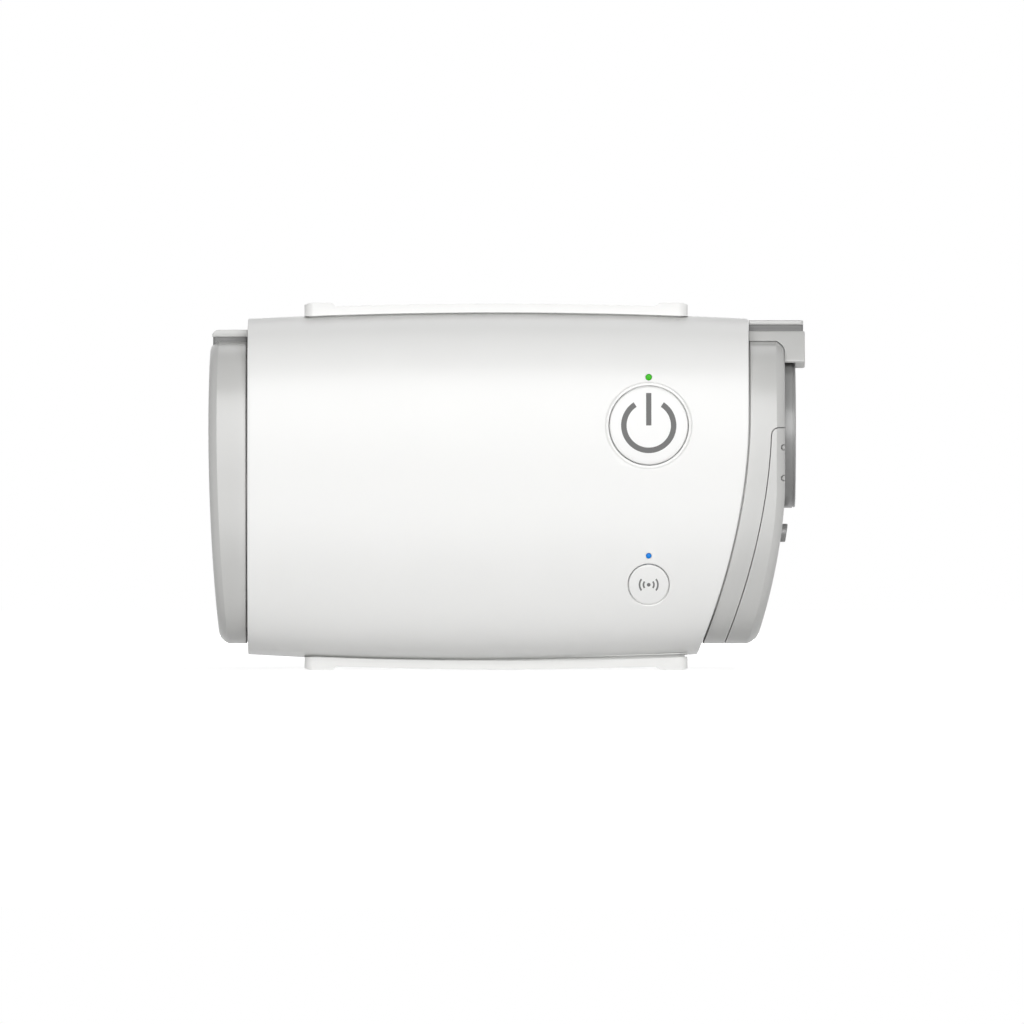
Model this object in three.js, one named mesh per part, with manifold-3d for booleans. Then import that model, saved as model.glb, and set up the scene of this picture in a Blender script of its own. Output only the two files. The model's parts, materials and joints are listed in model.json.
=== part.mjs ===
// Travel CPAP machine: a palm-sized air pump for breathing therapy, standing on its lower rail.
// Millimetres. X runs from the intake end to the outlet end, the buttons face -Y, Z is up.
// The origin is under the middle of the machine, on the surface that it stands on.
import * as THREE from 'three';
import { mergeVertices } from 'three/addons/utils/BufferGeometryUtils.js';
import Module from 'manifold-3d';

const wasm = await Module();
wasm.setup();

// Fits and facets
const fit = 0.3;              // clearance between pieces that seat on each other
const running = 0.1;          // clearance of what turns on a shaft
const overrun = 2;            // how far a cutter runs past what it cuts
const sectionFacets = 36;
const roundFacets = 24;
const smallFacets = 12;
const tinyFacets = 8;
const oblongFacets = 16;
const cornerSteps = 3;

// White sleeve: a soft rounded tube, slightly fuller in the middle than at its ends
const crownHalfHeight = 39.9;
const crownHalfDepth = 26;
const archDrop = 1.5;         // the sleeve is this much lower at its ends
const bowDrop = 0.8;          // and this much shallower
const cornerShare = 3.2;      // exponent of the superellipse section
const sleeveLeft = -59.2;
const sleeveRight = 55.1;
const sleeveWall = 1.8;
const sleeveLip = 0.5;
const sweepStart = 16;        // above mid height; below it the outlet end sweeps inwards
const sweepDepth = 12.3;
const sweepPowerShare = 1.9;

// Rails on the top and the underside, with a raised foot at each end
const railHalfLength = 43.8;
const railShift = -2.5;
const railHalfWidth = 11;
const railCorner = 2.2;
const railRise = 1.9;
const footStep = 0.2;
const footLength = 7.4;
const footSlope = 1.2;
const footDip = 0.5;

// End pieces, a step smaller than the sleeve
const capStepHeight = 5.2;
const capStepDepth = 2.4;
const capDrop = 1.25;
const capWall = 1.8;
const capLip = 1.9;
const capOverlap = 5;         // how far the outlet end reaches inside the sleeve
const seam = 0.6;

// Intake end: removable cover, filter and frame
const coverReach = 8.9;       // from the sleeve to the end of the cover
const coverBow = 1.65;
const coverBowHeight = 14;
const slotMargin = 3.5;       // from a slot to the edge of the filter
const slotWidth = 2.4;
const slotPitch = 5.2;
const filterSideMargin = 9.6; // from the filter to the side of the cover
const filterEndMargin = 9.7;  // and to its top and bottom
const filterThickness = 3.2;
const filterCorner = 4;
const pocketWall = 1.2;
const frameThickness = 2.2;
const frameBars = 3;
const frameBarWidth = 1.6;
const windowSideLip = 1.5;    // how far the frame covers the filter at its sides
const windowEndLip = 2;       // and at its ends
const clipHalfWidth = 4;
const clipThickness = 1.4;
const clipReach = 3.2;
const ridgeHalfDepth = 8;
const ridgeHeight = 2.4;

// Outlet end: bezel, end panel, hood and round outlet
const bezelReach = 8.3;       // from the sleeve to the end face
const bezelSlope = 7.85;
const bezelSlopePowerShare = 1.7;
const panelBand = 5.4;
const panelRise = 1.2;        // its upper edge above the middle of the outlet
const panelCorner = 1.6;
const notchCount = 2;
const notchRadius = 0.8;
const notchReach = 6;
const notchPitch = 7;
const notchMargin = 4.4;      // from the top of the panel to the upper notch
const outletMargin = 4.35;    // from the top of the bezel to the ring
const ringRadius = 17;
const ringWidth = 3.8;
const ringStand = 2.25;
const ringStep = 0.6;
const socketDepth = 8;
const socketWall = 1.6;
const spigotRoom = 3.6;       // between the socket's wall and the nozzle
const nozzleStand = 1.2;
const ductWall = 1.6;
const sealThickness = 1.6;
const hoodReach = 4.7;        // from the end face to the front of the hood
const hoodHalfDepth = 10.5;
const hoodRise = 4.5;         // above the top of the bezel
const hoodFall = 6.4;         // how far it hangs over the end
const hoodGroove = 0.7;
const hoodGrooveDepth = 0.6;
const hoodBand = 2.1;
const hoodCorner = 1.2;
const hoodChamfer = 0.6;
const hoodPlanCorner = 3;
const inletHalfDepth = 4.8;
const inletHeight = 4.2;
const inletMargin = 5.7;      // from the ring to the middle of the inlet
const inletStand = 1.4;
const inletWall = 0.9;
const inletLength = 7;
const tongueThickness = 0.9;
const tongueTail = 0.9;       // how far the tongue stands out behind the inlet
const contactTail = 0.9;      // and the contacts behind the tongue
const contactCount = 3;
const contactPitch = 1.8;
const contactRadius = 0.3;

// Buttons and lights on the front face
const buttonMargin = 22.8;    // from the middle of the buttons to the end of the sleeve
const powerRadius = 8.95;
const dishRadius = 10;
const dishDepth = 0.35;
const wirelessMargin = 5.6;   // from the bottom of the board to its middle
const wirelessRadius = 4.6;
const buttonGap = 0.2;
const buttonWall = 2;
const buttonFace = 4;         // solid part of a button, from the crown of the sleeve
const flangeWidth = 1;
const flangeThickness = 0.9;
const stemRadius = 1.6;
const powerTravel = 0.8;
const wirelessTravel = 0.6;
const powerLightMargin = 3.1; // from the top of the board
const powerLightRise = 11;    // above its button
const powerLightRadius = 0.7;
const wirelessLightRise = 6.6;
const wirelessLightRadius = 0.6;
const lightGap = 0.1;

// Circuit board behind the front face
const boardSetback = 8;       // from the inside of the sleeve
const boardThickness = 1.4;
const boardLength = 35;
const boardEndMargin = 14.1;  // from its right edge to the end of the sleeve
const boardMargin = 2.5;      // from its upper and lower edge to the outside of a shelf
const switchHalfWidth = 3;
const switchHeight = 2;
const plungerRadius = 1.2;
const plungerStand = 0.5;
const screwRadius = 1.1;
const screwHead = 2.2;
const screwHeadHeight = 1.2;
const screwChamfer = 0.4;
const screwLength = 7;
const bossRadius = 2.8;
const ledSize = 1.6;
const ledHeight = 0.8;
const chipHalf = 4.5;
const chipHeight = 1.2;
const chipMargin = 6.3;       // from the left edge of the board
const driverHalf = 3.2;
const driverDropShare = 0.42; // of the board's half height, below the processor
const moduleHalf = 5.8;
const moduleHeight = 1.7;
const moduleRiseShare = 0.48; // of the board's half height, above the processor
const capacitorCount = 2;
const capacitorRadius = 3.2;
const capacitorLength = 7;
const capacitorPitch = 8.3;
const capacitorDropShare = 0.6;
const plugHalf = 2.5;
const plugDepth = 4;
const plugDropShare = 0.25;

// Inner chassis
const chassisShelfRoom = 7.6; // from a shelf to the crown of the sleeve's inside
const chassisBackRoom = 3.1;  // from the back plate to the sleeve's inside
const chassisWall = 1.5;
const chassisFrameGap = 0.5;
const chassisEndMargin = 8.1; // from its right edge to the end of the sleeve

// Blower, on an axis that runs front to back
const blowerX = -14;
const blowerMargin = 1.35;    // from the scroll to the shelf below it
const impellerMargin = 1.5;   // from the impeller to the faces of the scroll
const impellerEyeShare = 0.55; // of the impeller's radius, as the next two
const hubShare = 0.23;
const bladeRootShare = 0.37;
const discThickness = 1.1;
const bladeCount = 11;
const bladeThickness = 0.9;
const bladeSweepShare = 0.11; // of a turn, from root to tip
const tongueGap = 2;
const voluteGrowthShare = 0.31; // of the scroll's first radius
const voluteDepthShare = 0.57; // of the depth that scroll and magnet share
const voluteWall = 1.6;
const voluteExit = 26;
const tongueTurnShare = 0.11; // of a turn, from the top
const inletLip = 1.5;
const shaftRadius = 1.5;
const bearingRadius = 4;
const bearingLength = 2.5;
const bearingBossWall = 1.4;
const magnetShare = 0.45;     // of the stator's radius
const airGap = 0.7;
const statorShare = 0.71;     // of the impeller's radius
const statorTeeth = 6;
const toothHalfWidth = 1.3;
const yokeWidth = 1.8;
const coilHalfWidth = 2.1;
const coilRise = 0.2;         // how far a coil stands past its tooth
const canWall = 1.2;
const mountRadius = 3;
const mountWaist = 2.1;
const mountMargin = 0.7;      // from a post to the motor can
const mountCount = 3;
const bellowsLength = 8;
const bellowsFold = 1;
const bellowsFolds = 3;
const ductBlend = 14;

// Foam, sensor and leads
const foamLength = 11;
const foamHeight = 15;
const sensorHalfWidth = 4;
const sensorHeight = 3;
const leadRadius = 1.1;
const leadRoom = 5;           // from the scroll to the middle of the motor's lead
const leadSteps = 10;
const leadFacets = 6;

// Sizes that follow from those above: the shell
const midZ = crownHalfHeight + railRise + footStep;
const archMiddle = (sleeveLeft + sleeveRight) / 2;
const archReach = (sleeveRight - sleeveLeft) / 2;
const sleeveBottom = midZ - crownHalfHeight;
const capHalfHeight = crownHalfHeight - capStepHeight;
const capHalfDepth = crownHalfDepth - capStepDepth;
const capZ = midZ - capDrop;
const capTop = capZ + capHalfHeight;
const coverLeft = sleeveLeft - coverReach;
const filterHalfDepth = capHalfDepth - filterSideMargin;
const filterHalfHeight = capHalfHeight - filterEndMargin;
const windowHalfDepth = filterHalfDepth - windowSideLip;
const windowHalfHeight = filterHalfHeight - windowEndLip;
const slotHalfLength = filterHalfDepth - slotMargin;
const slotCount = 2 * Math.floor((filterHalfHeight - slotMargin) / slotPitch) + 1;
const bezelRight = sleeveRight + bezelReach;
const hoodRight = bezelRight + hoodReach;
const ringBore = ringRadius - ringWidth;
const nozzleRadius = ringBore - spigotRoom;
const outletZ = capTop - outletMargin - ringRadius;
const inletZ = outletZ - ringRadius - inletMargin;

// The chassis, the board and what stands on it
const chassisHalfHeight = crownHalfHeight - sleeveWall - chassisShelfRoom;
const chassisBack = crownHalfDepth - sleeveWall - chassisBackRoom;
const chassisLeft = sleeveLeft + seam + frameThickness + chassisFrameGap;
const chassisRight = sleeveRight - chassisEndMargin;
const boardFront = -(crownHalfDepth - sleeveWall - boardSetback);
const boardHalfHeight = chassisHalfHeight - boardMargin;
const boardRight = sleeveRight - boardEndMargin;
const boardLeft = boardRight - boardLength;
const buttonX = sleeveRight - buttonMargin;
const powerLightZ = midZ + boardHalfHeight - powerLightMargin;
const powerZ = powerLightZ - powerLightRise;
const wirelessZ = midZ - boardHalfHeight + wirelessMargin;
const wirelessLightZ = wirelessZ + wirelessLightRise;

// The blower: the scroll fills the height between the outlet and the lower shelf, and the depth
// up to the back plate is shared out between the scroll and the motor's magnet
const tongueTurn = tongueTurnShare * 2 * Math.PI;
const scrollReachShare = 1 + voluteGrowthShare * (0.5 - tongueTurnShare) / (1 - tongueTurnShare);
const outletRiseShare = (Math.cos(tongueTurn) + 1 + voluteGrowthShare) / 2;
const lowerShelf = midZ - chassisHalfHeight + chassisWall;
const voluteStart = (outletZ - lowerShelf - blowerMargin - voluteWall) / (scrollReachShare + outletRiseShare);
const voluteGrowth = voluteStart * voluteGrowthShare;
const voluteEnd = voluteStart + voluteGrowth;
const tongueZ = voluteStart * Math.cos(tongueTurn);
const blowerZ = outletZ - voluteStart * outletRiseShare;
const bearingRoom = bearingLength + running * 2;
const motorDepth = voluteWall + 2 * bearingRoom + canWall + 2 * fit + 3 * running;
const sharedDepth = chassisBack - chassisWall - motorDepth;
const voluteHalfDepth = sharedDepth * voluteDepthShare;
const magnetLength = sharedDepth - voluteHalfDepth;
const impellerRadius = voluteStart - tongueGap;
const impellerHalfHeight = voluteHalfDepth - impellerMargin;
const impellerEye = impellerRadius * impellerEyeShare;
const hubRadius = impellerRadius * hubShare;
const bladeRoot = impellerRadius * bladeRootShare;
const statorRadius = impellerRadius * statorShare;
const magnetRadius = statorRadius * magnetShare;
const mountCircle = statorRadius + fit + canWall + mountMargin + mountRadius;

// Closed geometry to a solid, and back
function solid(geometry) {
  const bare = geometry.clone();
  bare.deleteAttribute('normal');
  bare.deleteAttribute('uv');
  const merged = mergeVertices(bare);
  const index = merged.index.array;
  const kept = [];
  for (let i = 0; i < index.length; i += 3) {
    const [a, b, c] = [index[i], index[i + 1], index[i + 2]];
    if (a !== b && b !== c && c !== a) kept.push(a, b, c);
  }
  return new wasm.Manifold(new wasm.Mesh({
    numProp: 3,
    vertProperties: Float32Array.from(merged.attributes.position.array),
    triVerts: Uint32Array.from(kept),
  }));
}

function surface(body) {
  const mesh = body.getMesh();
  const geometry = new THREE.BufferGeometry();
  geometry.setAttribute('position', new THREE.BufferAttribute(mesh.vertProperties, mesh.numProp));
  geometry.setIndex(new THREE.BufferAttribute(mesh.triVerts, 1));
  geometry.computeVertexNormals();
  return geometry;
}

const joined = (...bodies) => bodies.reduce((whole, body) => whole.add(body));
const without = (body, ...cutters) => cutters.reduce((rest, cutter) => rest.subtract(cutter), body);

// Box between two corners
function block(x0, x1, y0, y1, z0, z1) {
  const box = new THREE.BoxGeometry(x1 - x0, y1 - y0, z1 - z0);
  return solid(box.translate((x0 + x1) / 2, (y0 + y1) / 2, (z0 + z1) / 2));
}

const extruded = (outline, depth) =>
  new THREE.ExtrudeGeometry(outline, { depth, bevelEnabled: false, curveSegments: cornerSteps });

// Outline drawn in X and Z, thickened from y0 to y1
function alongY(outline, y0, y1) {
  return solid(extruded(outline, y1 - y0).rotateX(Math.PI / 2).translate(0, y1, 0));
}

// Outline drawn in Y and Z, thickened from x0 to x1
function alongX(outline, x0, x1) {
  return solid(extruded(outline, x1 - x0).rotateX(Math.PI / 2).rotateZ(Math.PI / 2).translate(x0, 0, 0));
}

// Outline drawn in X and Y, thickened from z0 to z1
function alongZ(outline, z0, z1) {
  return solid(extruded(outline, z1 - z0).translate(0, 0, z0));
}

// Turned piece: pairs of radius and place along the axis, from its low end round to its high end
function turned(profile, facets = roundFacets) {
  return new THREE.LatheGeometry(profile.map(([r, along]) => new THREE.Vector2(r, along)), facets);
}

const turnedY = (profile, facets) => solid(turned(profile, facets));

const rod = (radius, start, end) => [[0, start], [radius, start], [radius, end], [0, end]];
const collar = (inner, outer, start, end) =>
  [[inner, start], [outer, start], [outer, end], [inner, end], [inner, start]];

// Rod along X or Y through a place
const pegY = (x, z, radius, y0, y1, facets = smallFacets) =>
  solid(turned(rod(radius, y0, y1), facets).translate(x, 0, z));
const pegX = (y, z, radius, x0, x1, facets = smallFacets) =>
  solid(turned(rod(radius, x0, x1), facets).rotateZ(-Math.PI / 2).translate(0, y, z));

function roundedRectangle(x0, x1, y0, y1, corner) {
  const r = Math.min(corner, (x1 - x0) / 2, (y1 - y0) / 2);
  const outline = new THREE.Shape();
  outline.moveTo(x0 + r, y0);
  outline.lineTo(x1 - r, y0);
  outline.absarc(x1 - r, y0 + r, r, -Math.PI / 2, 0);
  outline.lineTo(x1, y1 - r);
  outline.absarc(x1 - r, y1 - r, r, 0, Math.PI / 2);
  outline.lineTo(x0 + r, y1);
  outline.absarc(x0 + r, y1 - r, r, Math.PI / 2, Math.PI);
  outline.lineTo(x0, y0 + r);
  outline.absarc(x0 + r, y0 + r, r, Math.PI, Math.PI * 1.5);
  return outline;
}

const polygon = (points) => new THREE.Shape(points.map(([a, b]) => new THREE.Vector2(a, b)));

// Superellipse ring round the X axis; xAt places each of its points along X
function ring(halfDepth, halfHeight, centreZ, xAt, share = cornerShare, count = sectionFacets) {
  const points = [];
  for (let i = 0; i < count; i++) {
    const turn = i / count * 2 * Math.PI;
    const y = halfDepth * Math.sign(Math.cos(turn)) * Math.abs(Math.cos(turn)) ** (2 / share);
    const z = centreZ + halfHeight * Math.sign(Math.sin(turn)) * Math.abs(Math.sin(turn)) ** (2 / share);
    points.push([xAt(z), y, z]);
  }
  return points;
}

// Skin through rings that follow each other along +X, closed at both ends by level strips
function loft(rings) {
  const count = rings[0].length;
  const position = rings.flat(2);
  const index = [];
  for (let r = 0; r + 1 < rings.length; r++) {
    for (let i = 0; i < count; i++) {
      const [a, b] = [r * count + i, r * count + (i + 1) % count];
      index.push(a, b, b + count, a, b + count, a + count);
    }
  }
  const quarter = count / 4;
  const last = (rings.length - 1) * count;
  for (let i = -quarter; i < quarter; i++) {
    const right = (i + count) % count;
    const rightNext = (i + 1 + count) % count;
    const left = count / 2 - i;
    const leftNext = left - 1;
    const [a, b, c, d] = [right, rightNext, leftNext % count, left % count];
    index.push(c, b, a, d, c, a);
    index.push(last + a, last + b, last + c, last + a, last + c, last + d);
  }
  const geometry = new THREE.BufferGeometry();
  geometry.setAttribute('position', new THREE.Float32BufferAttribute(position, 3));
  geometry.setIndex(index);
  return solid(geometry);
}

// Sleeve surface at a place along X, grown or shrunk by an inset
const reach = (x) => (x - archMiddle) / archReach;
const sleeveHalfHeight = (x) => crownHalfHeight - archDrop * reach(x) ** 2;
const sleeveHalfDepth = (x) => crownHalfDepth - bowDrop * reach(x) ** 2;
const sleeveRing = (x, inset, xAt = () => x) =>
  ring(sleeveHalfDepth(x) - inset, sleeveHalfHeight(x) - inset, midZ, xAt);

function sleeveCore(inset, x0, x1, steps = 4) {
  const rings = [];
  for (let i = 0; i <= steps; i++) rings.push(sleeveRing(x0 + (x1 - x0) * i / steps, inset));
  return loft(rings);
}

// Where the sleeve ends on the outlet side, at a height
function sleeveEdge(z) {
  const below = Math.max(0, midZ + sweepStart - z) / (sweepStart + crownHalfHeight);
  return sleeveRight - sweepDepth * below ** sweepPowerShare;
}

// Where the outlet end and the intake cover end, at a height
function bezelEnd(z) {
  const below = Math.max(0, midZ - z) / crownHalfHeight;
  return bezelRight - bezelSlope * below ** bezelSlopePowerShare;
}
const coverEnd = (z) => coverLeft + coverBow * ((z - midZ - coverBowHeight) / crownHalfHeight) ** 2;

// Outer form of the sleeve, with softened lips; its right end follows the sweep
function sleeveForm(inset) {
  const stationShares = [0.25, 0.5, 0.75];
  const run = sleeveRight - sleeveLeft;
  const swept = (x) => (z) => sleeveLeft + (x - sleeveLeft) * (sleeveEdge(z) - sleeveLeft) / run;
  const at = (x, drawnIn) => sleeveRing(x, inset + drawnIn, swept(x));
  return loft([
    at(sleeveLeft, sleeveLip),
    at(sleeveLeft + sleeveLip, 0),
    ...stationShares.map((share) => at(sleeveLeft + run * share, 0)),
    at(sleeveRight - sleeveLip, 0),
    at(sleeveRight, sleeveLip),
  ]);
}

// Region to one side of a curve x = edge(z), as a thick plate across the whole depth
function beyond(edge, farX, z0, z1, steps = 14) {
  const points = [];
  for (let i = 0; i <= steps; i++) {
    const z = z0 + (z1 - z0) * i / steps;
    points.push([edge(z), z]);
  }
  points.push([farX, z1], [farX, z0]);
  const outline = polygon(THREE.ShapeUtils.isClockWise(points.map(([x, y]) => ({ x, y })))
    ? points.reverse() : points);
  return alongY(outline, -crownHalfDepth - overrun, crownHalfDepth + overrun);
}

// End cap body: a straight run, a rounded lip and a closed, gently bowed end face.
// side is 1 where it ends towards +X and -1 where it ends towards -X.
function capBody(inset, side, startX, endAt, lip, lipSteps = 2) {
  const halfDepth = capHalfDepth - inset;
  const halfHeight = capHalfHeight - inset;
  const rings = [ring(halfDepth, halfHeight, capZ, () => startX)];
  for (let i = 0; i <= lipSteps; i++) {
    const turn = i / lipSteps * Math.PI / 2;
    const drawnIn = lip * (1 - Math.cos(turn));
    const back = side * lip * (1 - Math.sin(turn));
    rings.push(ring(halfDepth - drawnIn, halfHeight - drawnIn, capZ, (z) => endAt(z) - back));
  }
  return loft(side > 0 ? rings : rings.reverse());
}

// Finishes: colour, roughness and metalness
const finishes = {
  whiteShell: [0xfafaf7, 0.35, 0],
  satinGrey: [0xc9c9c6, 0.45, 0],
  darkGrey: [0x8d8d8b, 0.5, 0],
  black: [0x26282b, 0.6, 0],
  filterFelt: [0xe9ebe8, 0.95, 0],
  foam: [0x4a4d52, 0.95, 0],
  silicone: [0xb9bec2, 0.6, 0],
  greenLens: [0x37af1e, 0.3, 0],
  blueLens: [0x0a78cd, 0.3, 0],
  boardGreen: [0x1d6b46, 0.5, 0],
  steel: [0xb4b8bb, 0.3, 1],
  copper: [0xb87333, 0.35, 1],
  gold: [0xd9b45a, 0.3, 1],
};

const machine = new THREE.Group();

function add(name, body, finish, parent = machine) {
  const [color, roughness, metalness] = finishes[finish];
  const material = new THREE.MeshStandardMaterial({ color, roughness, metalness });
  const mesh = new THREE.Mesh(surface(body), material);
  mesh.name = name;
  parent.add(mesh);
  return mesh;
}

// Buttons: a cap cut to the curve of the sleeve, a flange behind it and a stem to its switch
const sleeveSkin = sleeveForm(0);
const insideFace = (x, z) => {
  const high = Math.abs(z - midZ) / sleeveHalfHeight(x);
  return -(sleeveHalfDepth(x) * (1 - high ** cornerShare) ** (1 / cornerShare)) + sleeveWall;
};
const stemEnd = boardFront - switchHeight - plungerStand - running - fit;

function button(name, z, radius) {
  const rim = radius + flangeWidth;
  const flangeFront = insideFace(buttonX + rim, midZ + Math.abs(z - midZ) + rim) + fit;
  const front = -crownHalfDepth - overrun;
  const flangeBack = flangeFront + flangeThickness;
  const disc = pegY(buttonX, z, radius, front, flangeBack, roundFacets).intersect(sleeveSkin);
  const flange = pegY(buttonX, z, rim, flangeFront, flangeBack, roundFacets);
  const stem = pegY(buttonX, z, stemRadius, flangeFront, stemEnd);
  const bored = pegY(buttonX, z, radius - buttonWall, front + overrun + buttonFace, stemEnd + overrun);
  const hollow = without(bored, pegY(buttonX, z, stemRadius, front, stemEnd));
  add(name, without(joined(disc, flange, stem), hollow), 'whiteShell');
}
button('power_button', powerZ, powerRadius);
button('wireless_button', wirelessZ, wirelessRadius);

// Light pipes: slim rods from the face of the sleeve back to the lamps on the board
function lightPipe(name, z, radius, finish) {
  const back = boardFront - ledHeight - fit * 2;
  const pipe = pegY(buttonX, z, radius, -crownHalfDepth - overrun, back).intersect(sleeveSkin);
  add(name, pipe, finish);
}
lightPipe('power_light', powerLightZ, powerLightRadius, 'greenLens');
lightPipe('wireless_light', wirelessLightZ, wirelessLightRadius, 'blueLens');

// Sleeve: bored through, with holes for buttons and lights and a shallow dish round the power button
function sleeve() {
  const bore = sleeveCore(sleeveWall, sleeveLeft - overrun, sleeveRight + overrun);
  const through = (z, radius, facets) =>
    pegY(buttonX, z, radius, -crownHalfDepth - overrun, boardFront, facets);
  const dish = pegY(buttonX, powerZ, dishRadius, -crownHalfDepth - overrun, 0, roundFacets)
    .subtract(sleeveForm(dishDepth));
  return without(
    sleeveSkin,
    bore,
    dish,
    through(powerZ, powerRadius + buttonGap, roundFacets),
    through(wirelessZ, wirelessRadius + buttonGap, roundFacets),
    through(powerLightZ, powerLightRadius + lightGap),
    through(wirelessLightZ, wirelessLightRadius + lightGap),
  );
}
add('sleeve_shell', sleeve(), 'whiteShell');

// Rails: a long pad that follows the arch of the sleeve, with a level raised foot at each end
function rail() {
  const left = railShift - railHalfLength;
  const right = railShift + railHalfLength;
  const crown = (x) => midZ + sleeveHalfHeight(x) + railRise;
  const top = midZ + crownHalfHeight + railRise + footStep;
  const profile = [[left, midZ], [right, midZ], [right, top - footDip], [right - footSlope, top]];
  profile.push([right - footLength + footSlope, top]);
  const archSteps = 6;
  for (let i = 0; i <= archSteps; i++) {
    const x = right - footLength + (left - right + 2 * footLength) * i / archSteps;
    profile.push([x, crown(x)]);
  }
  profile.push([left + footLength - footSlope, top], [left + footSlope, top], [left, top - footDip]);
  const side = alongY(polygon(profile), -railHalfWidth, railHalfWidth);
  const plan = alongZ(roundedRectangle(left, right, -railHalfWidth, railHalfWidth, railCorner),
    midZ, top + overrun);
  return side.intersect(plan).subtract(sleeveCore(-fit, sleeveLeft, sleeveRight));
}
add('top_rail', rail(), 'whiteShell');
const lowerRail = new THREE.Group();
lowerRail.rotation.x = Math.PI;
lowerRail.position.z = 2 * midZ;
machine.add(lowerRail);
add('bottom_rail', rail(), 'whiteShell', lowerRail);

// Intake cover: a shallow cup with a column of air slots, a pocket for the filter
// and a rounded ridge along its top, where a finger pulls it off
const coverOpen = sleeveLeft - seam;
const pocketFloor = coverEnd(capZ - filterHalfHeight) + capWall + fit;
const pocketEnd = pocketFloor + filterThickness;

function intakeSlots(x0, x1) {
  const slots = [];
  for (let i = 0; i < slotCount; i++) {
    const z = capZ + (i - (slotCount - 1) / 2) * slotPitch;
    const outline = roundedRectangle(-slotHalfLength, slotHalfLength,
      z - slotWidth / 2, z + slotWidth / 2, slotWidth);
    slots.push(alongX(outline, x0, x1));
  }
  return slots;
}

function coverRidge() {
  const top = capTop + ridgeHeight;
  const left = coverEnd(top);
  const ridge = new THREE.Shape();
  ridge.moveTo(coverOpen, capTop - ridgeHeight);
  ridge.lineTo(coverOpen, top);
  ridge.lineTo(left + ridgeHeight, top);
  ridge.absarc(left + ridgeHeight, top - ridgeHeight, ridgeHeight, Math.PI / 2, Math.PI);
  ridge.lineTo(left, capTop - ridgeHeight);
  return alongY(ridge, -ridgeHalfDepth, ridgeHalfDepth);
}

function filterCover() {
  const outer = joined(capBody(0, -1, coverOpen, coverEnd, capLip), coverRidge());
  const cavity = capBody(capWall, -1, coverOpen + overrun, (z) => coverEnd(z) + capWall, capLip / 2, 1);
  const pocketInner = roundedRectangle(-filterHalfDepth - fit, filterHalfDepth + fit,
    capZ - filterHalfHeight - fit, capZ + filterHalfHeight + fit, filterCorner);
  const grown = fit + pocketWall;
  const pocketOuter = roundedRectangle(-filterHalfDepth - grown, filterHalfDepth + grown,
    capZ - filterHalfHeight - grown, capZ + filterHalfHeight + grown, filterCorner + pocketWall);
  pocketOuter.holes.push(pocketInner);
  const pocket = alongX(pocketOuter, coverLeft, pocketEnd).intersect(outer);
  const clip = (side) => {
    const middle = side * (capHalfDepth - capWall - clipThickness / 2);
    return block(coverEnd(capZ) + capWall / 2, coverOpen + clipReach,
      middle - clipThickness / 2, middle + clipThickness / 2, capZ - clipHalfWidth, capZ + clipHalfWidth);
  };
  const shell = outer.subtract(cavity);
  return without(joined(shell, pocket, clip(1), clip(-1)), ...intakeSlots(coverLeft - overrun, pocketFloor));
}
add('filter_cover', filterCover(), 'satinGrey');

const filterOutline = roundedRectangle(-filterHalfDepth, filterHalfDepth,
  capZ - filterHalfHeight, capZ + filterHalfHeight, filterCorner);
add('air_filter', alongX(filterOutline, pocketFloor, pocketEnd), 'filterFelt');

// Intake frame: a plate in the mouth of the sleeve with a barred window and a spigot for the cover
function intakeFrame() {
  const plateLeft = sleeveLeft + seam;
  const plateRight = plateLeft + frameThickness;
  const plate = sleeveCore(sleeveWall + fit, plateLeft, plateRight, 1);
  const spigotInset = capWall + fit + clipThickness + fit;
  const spigot = loft([
    ring(capHalfDepth - spigotInset, capHalfHeight - spigotInset, capZ, () => pocketEnd + fit),
    ring(capHalfDepth - spigotInset, capHalfHeight - spigotInset, capZ, () => plateRight),
  ]);
  const window = roundedRectangle(-windowHalfDepth, windowHalfDepth,
    capZ - windowHalfHeight, capZ + windowHalfHeight, filterCorner);
  const opening = alongX(window, pocketEnd - overrun, plateRight + overrun);
  const bars = [];
  for (let i = 1; i <= frameBars; i++) {
    const z = capZ - windowHalfHeight + 2 * windowHalfHeight * i / (frameBars + 1);
    bars.push(block(plateLeft, plateRight, -windowHalfDepth - frameBarWidth, windowHalfDepth + frameBarWidth,
      z - frameBarWidth / 2, z + frameBarWidth / 2));
  }
  const clipSlot = (side) => {
    const middle = side * (capHalfDepth - capWall - clipThickness / 2);
    const half = clipThickness / 2 + fit;
    return block(plateLeft - overrun, plateRight + overrun, middle - half, middle + half,
      capZ - clipHalfWidth - fit, capZ + clipHalfWidth + fit);
  };
  const framed = without(joined(plate, spigot), opening, clipSlot(1), clipSlot(-1));
  return joined(framed, ...bars);
}
add('intake_frame', intakeFrame(), 'satinGrey');

// Outlet end: one skin, parted by a curved seam into the bezel and the end panel below it
const panelTop = outletZ + panelRise;
const bezelStart = (z) => sleeveEdge(z) - capOverlap;
const seamAt = (z) => sleeveEdge(z) + panelBand;

function panelRegion(grow) {
  const low = sleeveBottom - overrun;
  const high = panelTop + grow;
  const corner = panelCorner + grow;
  const farX = hoodRight + overrun;
  const points = [];
  const steps = 8;
  for (let i = 0; i <= steps; i++) {
    const z = low + (high - corner - low) * i / steps;
    points.push([seamAt(z) - grow, z]);
  }
  const left = seamAt(high - corner) - grow;
  for (let i = 1; i <= cornerSteps; i++) {
    const turn = Math.PI / 2 * i / cornerSteps;
    points.push([left + corner * (1 - Math.cos(turn)), high - corner + corner * Math.sin(turn)]);
  }
  points.push([farX, high], [farX, low]);
  return alongY(polygon(points.reverse()), -crownHalfDepth - overrun, crownHalfDepth + overrun);
}

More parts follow.
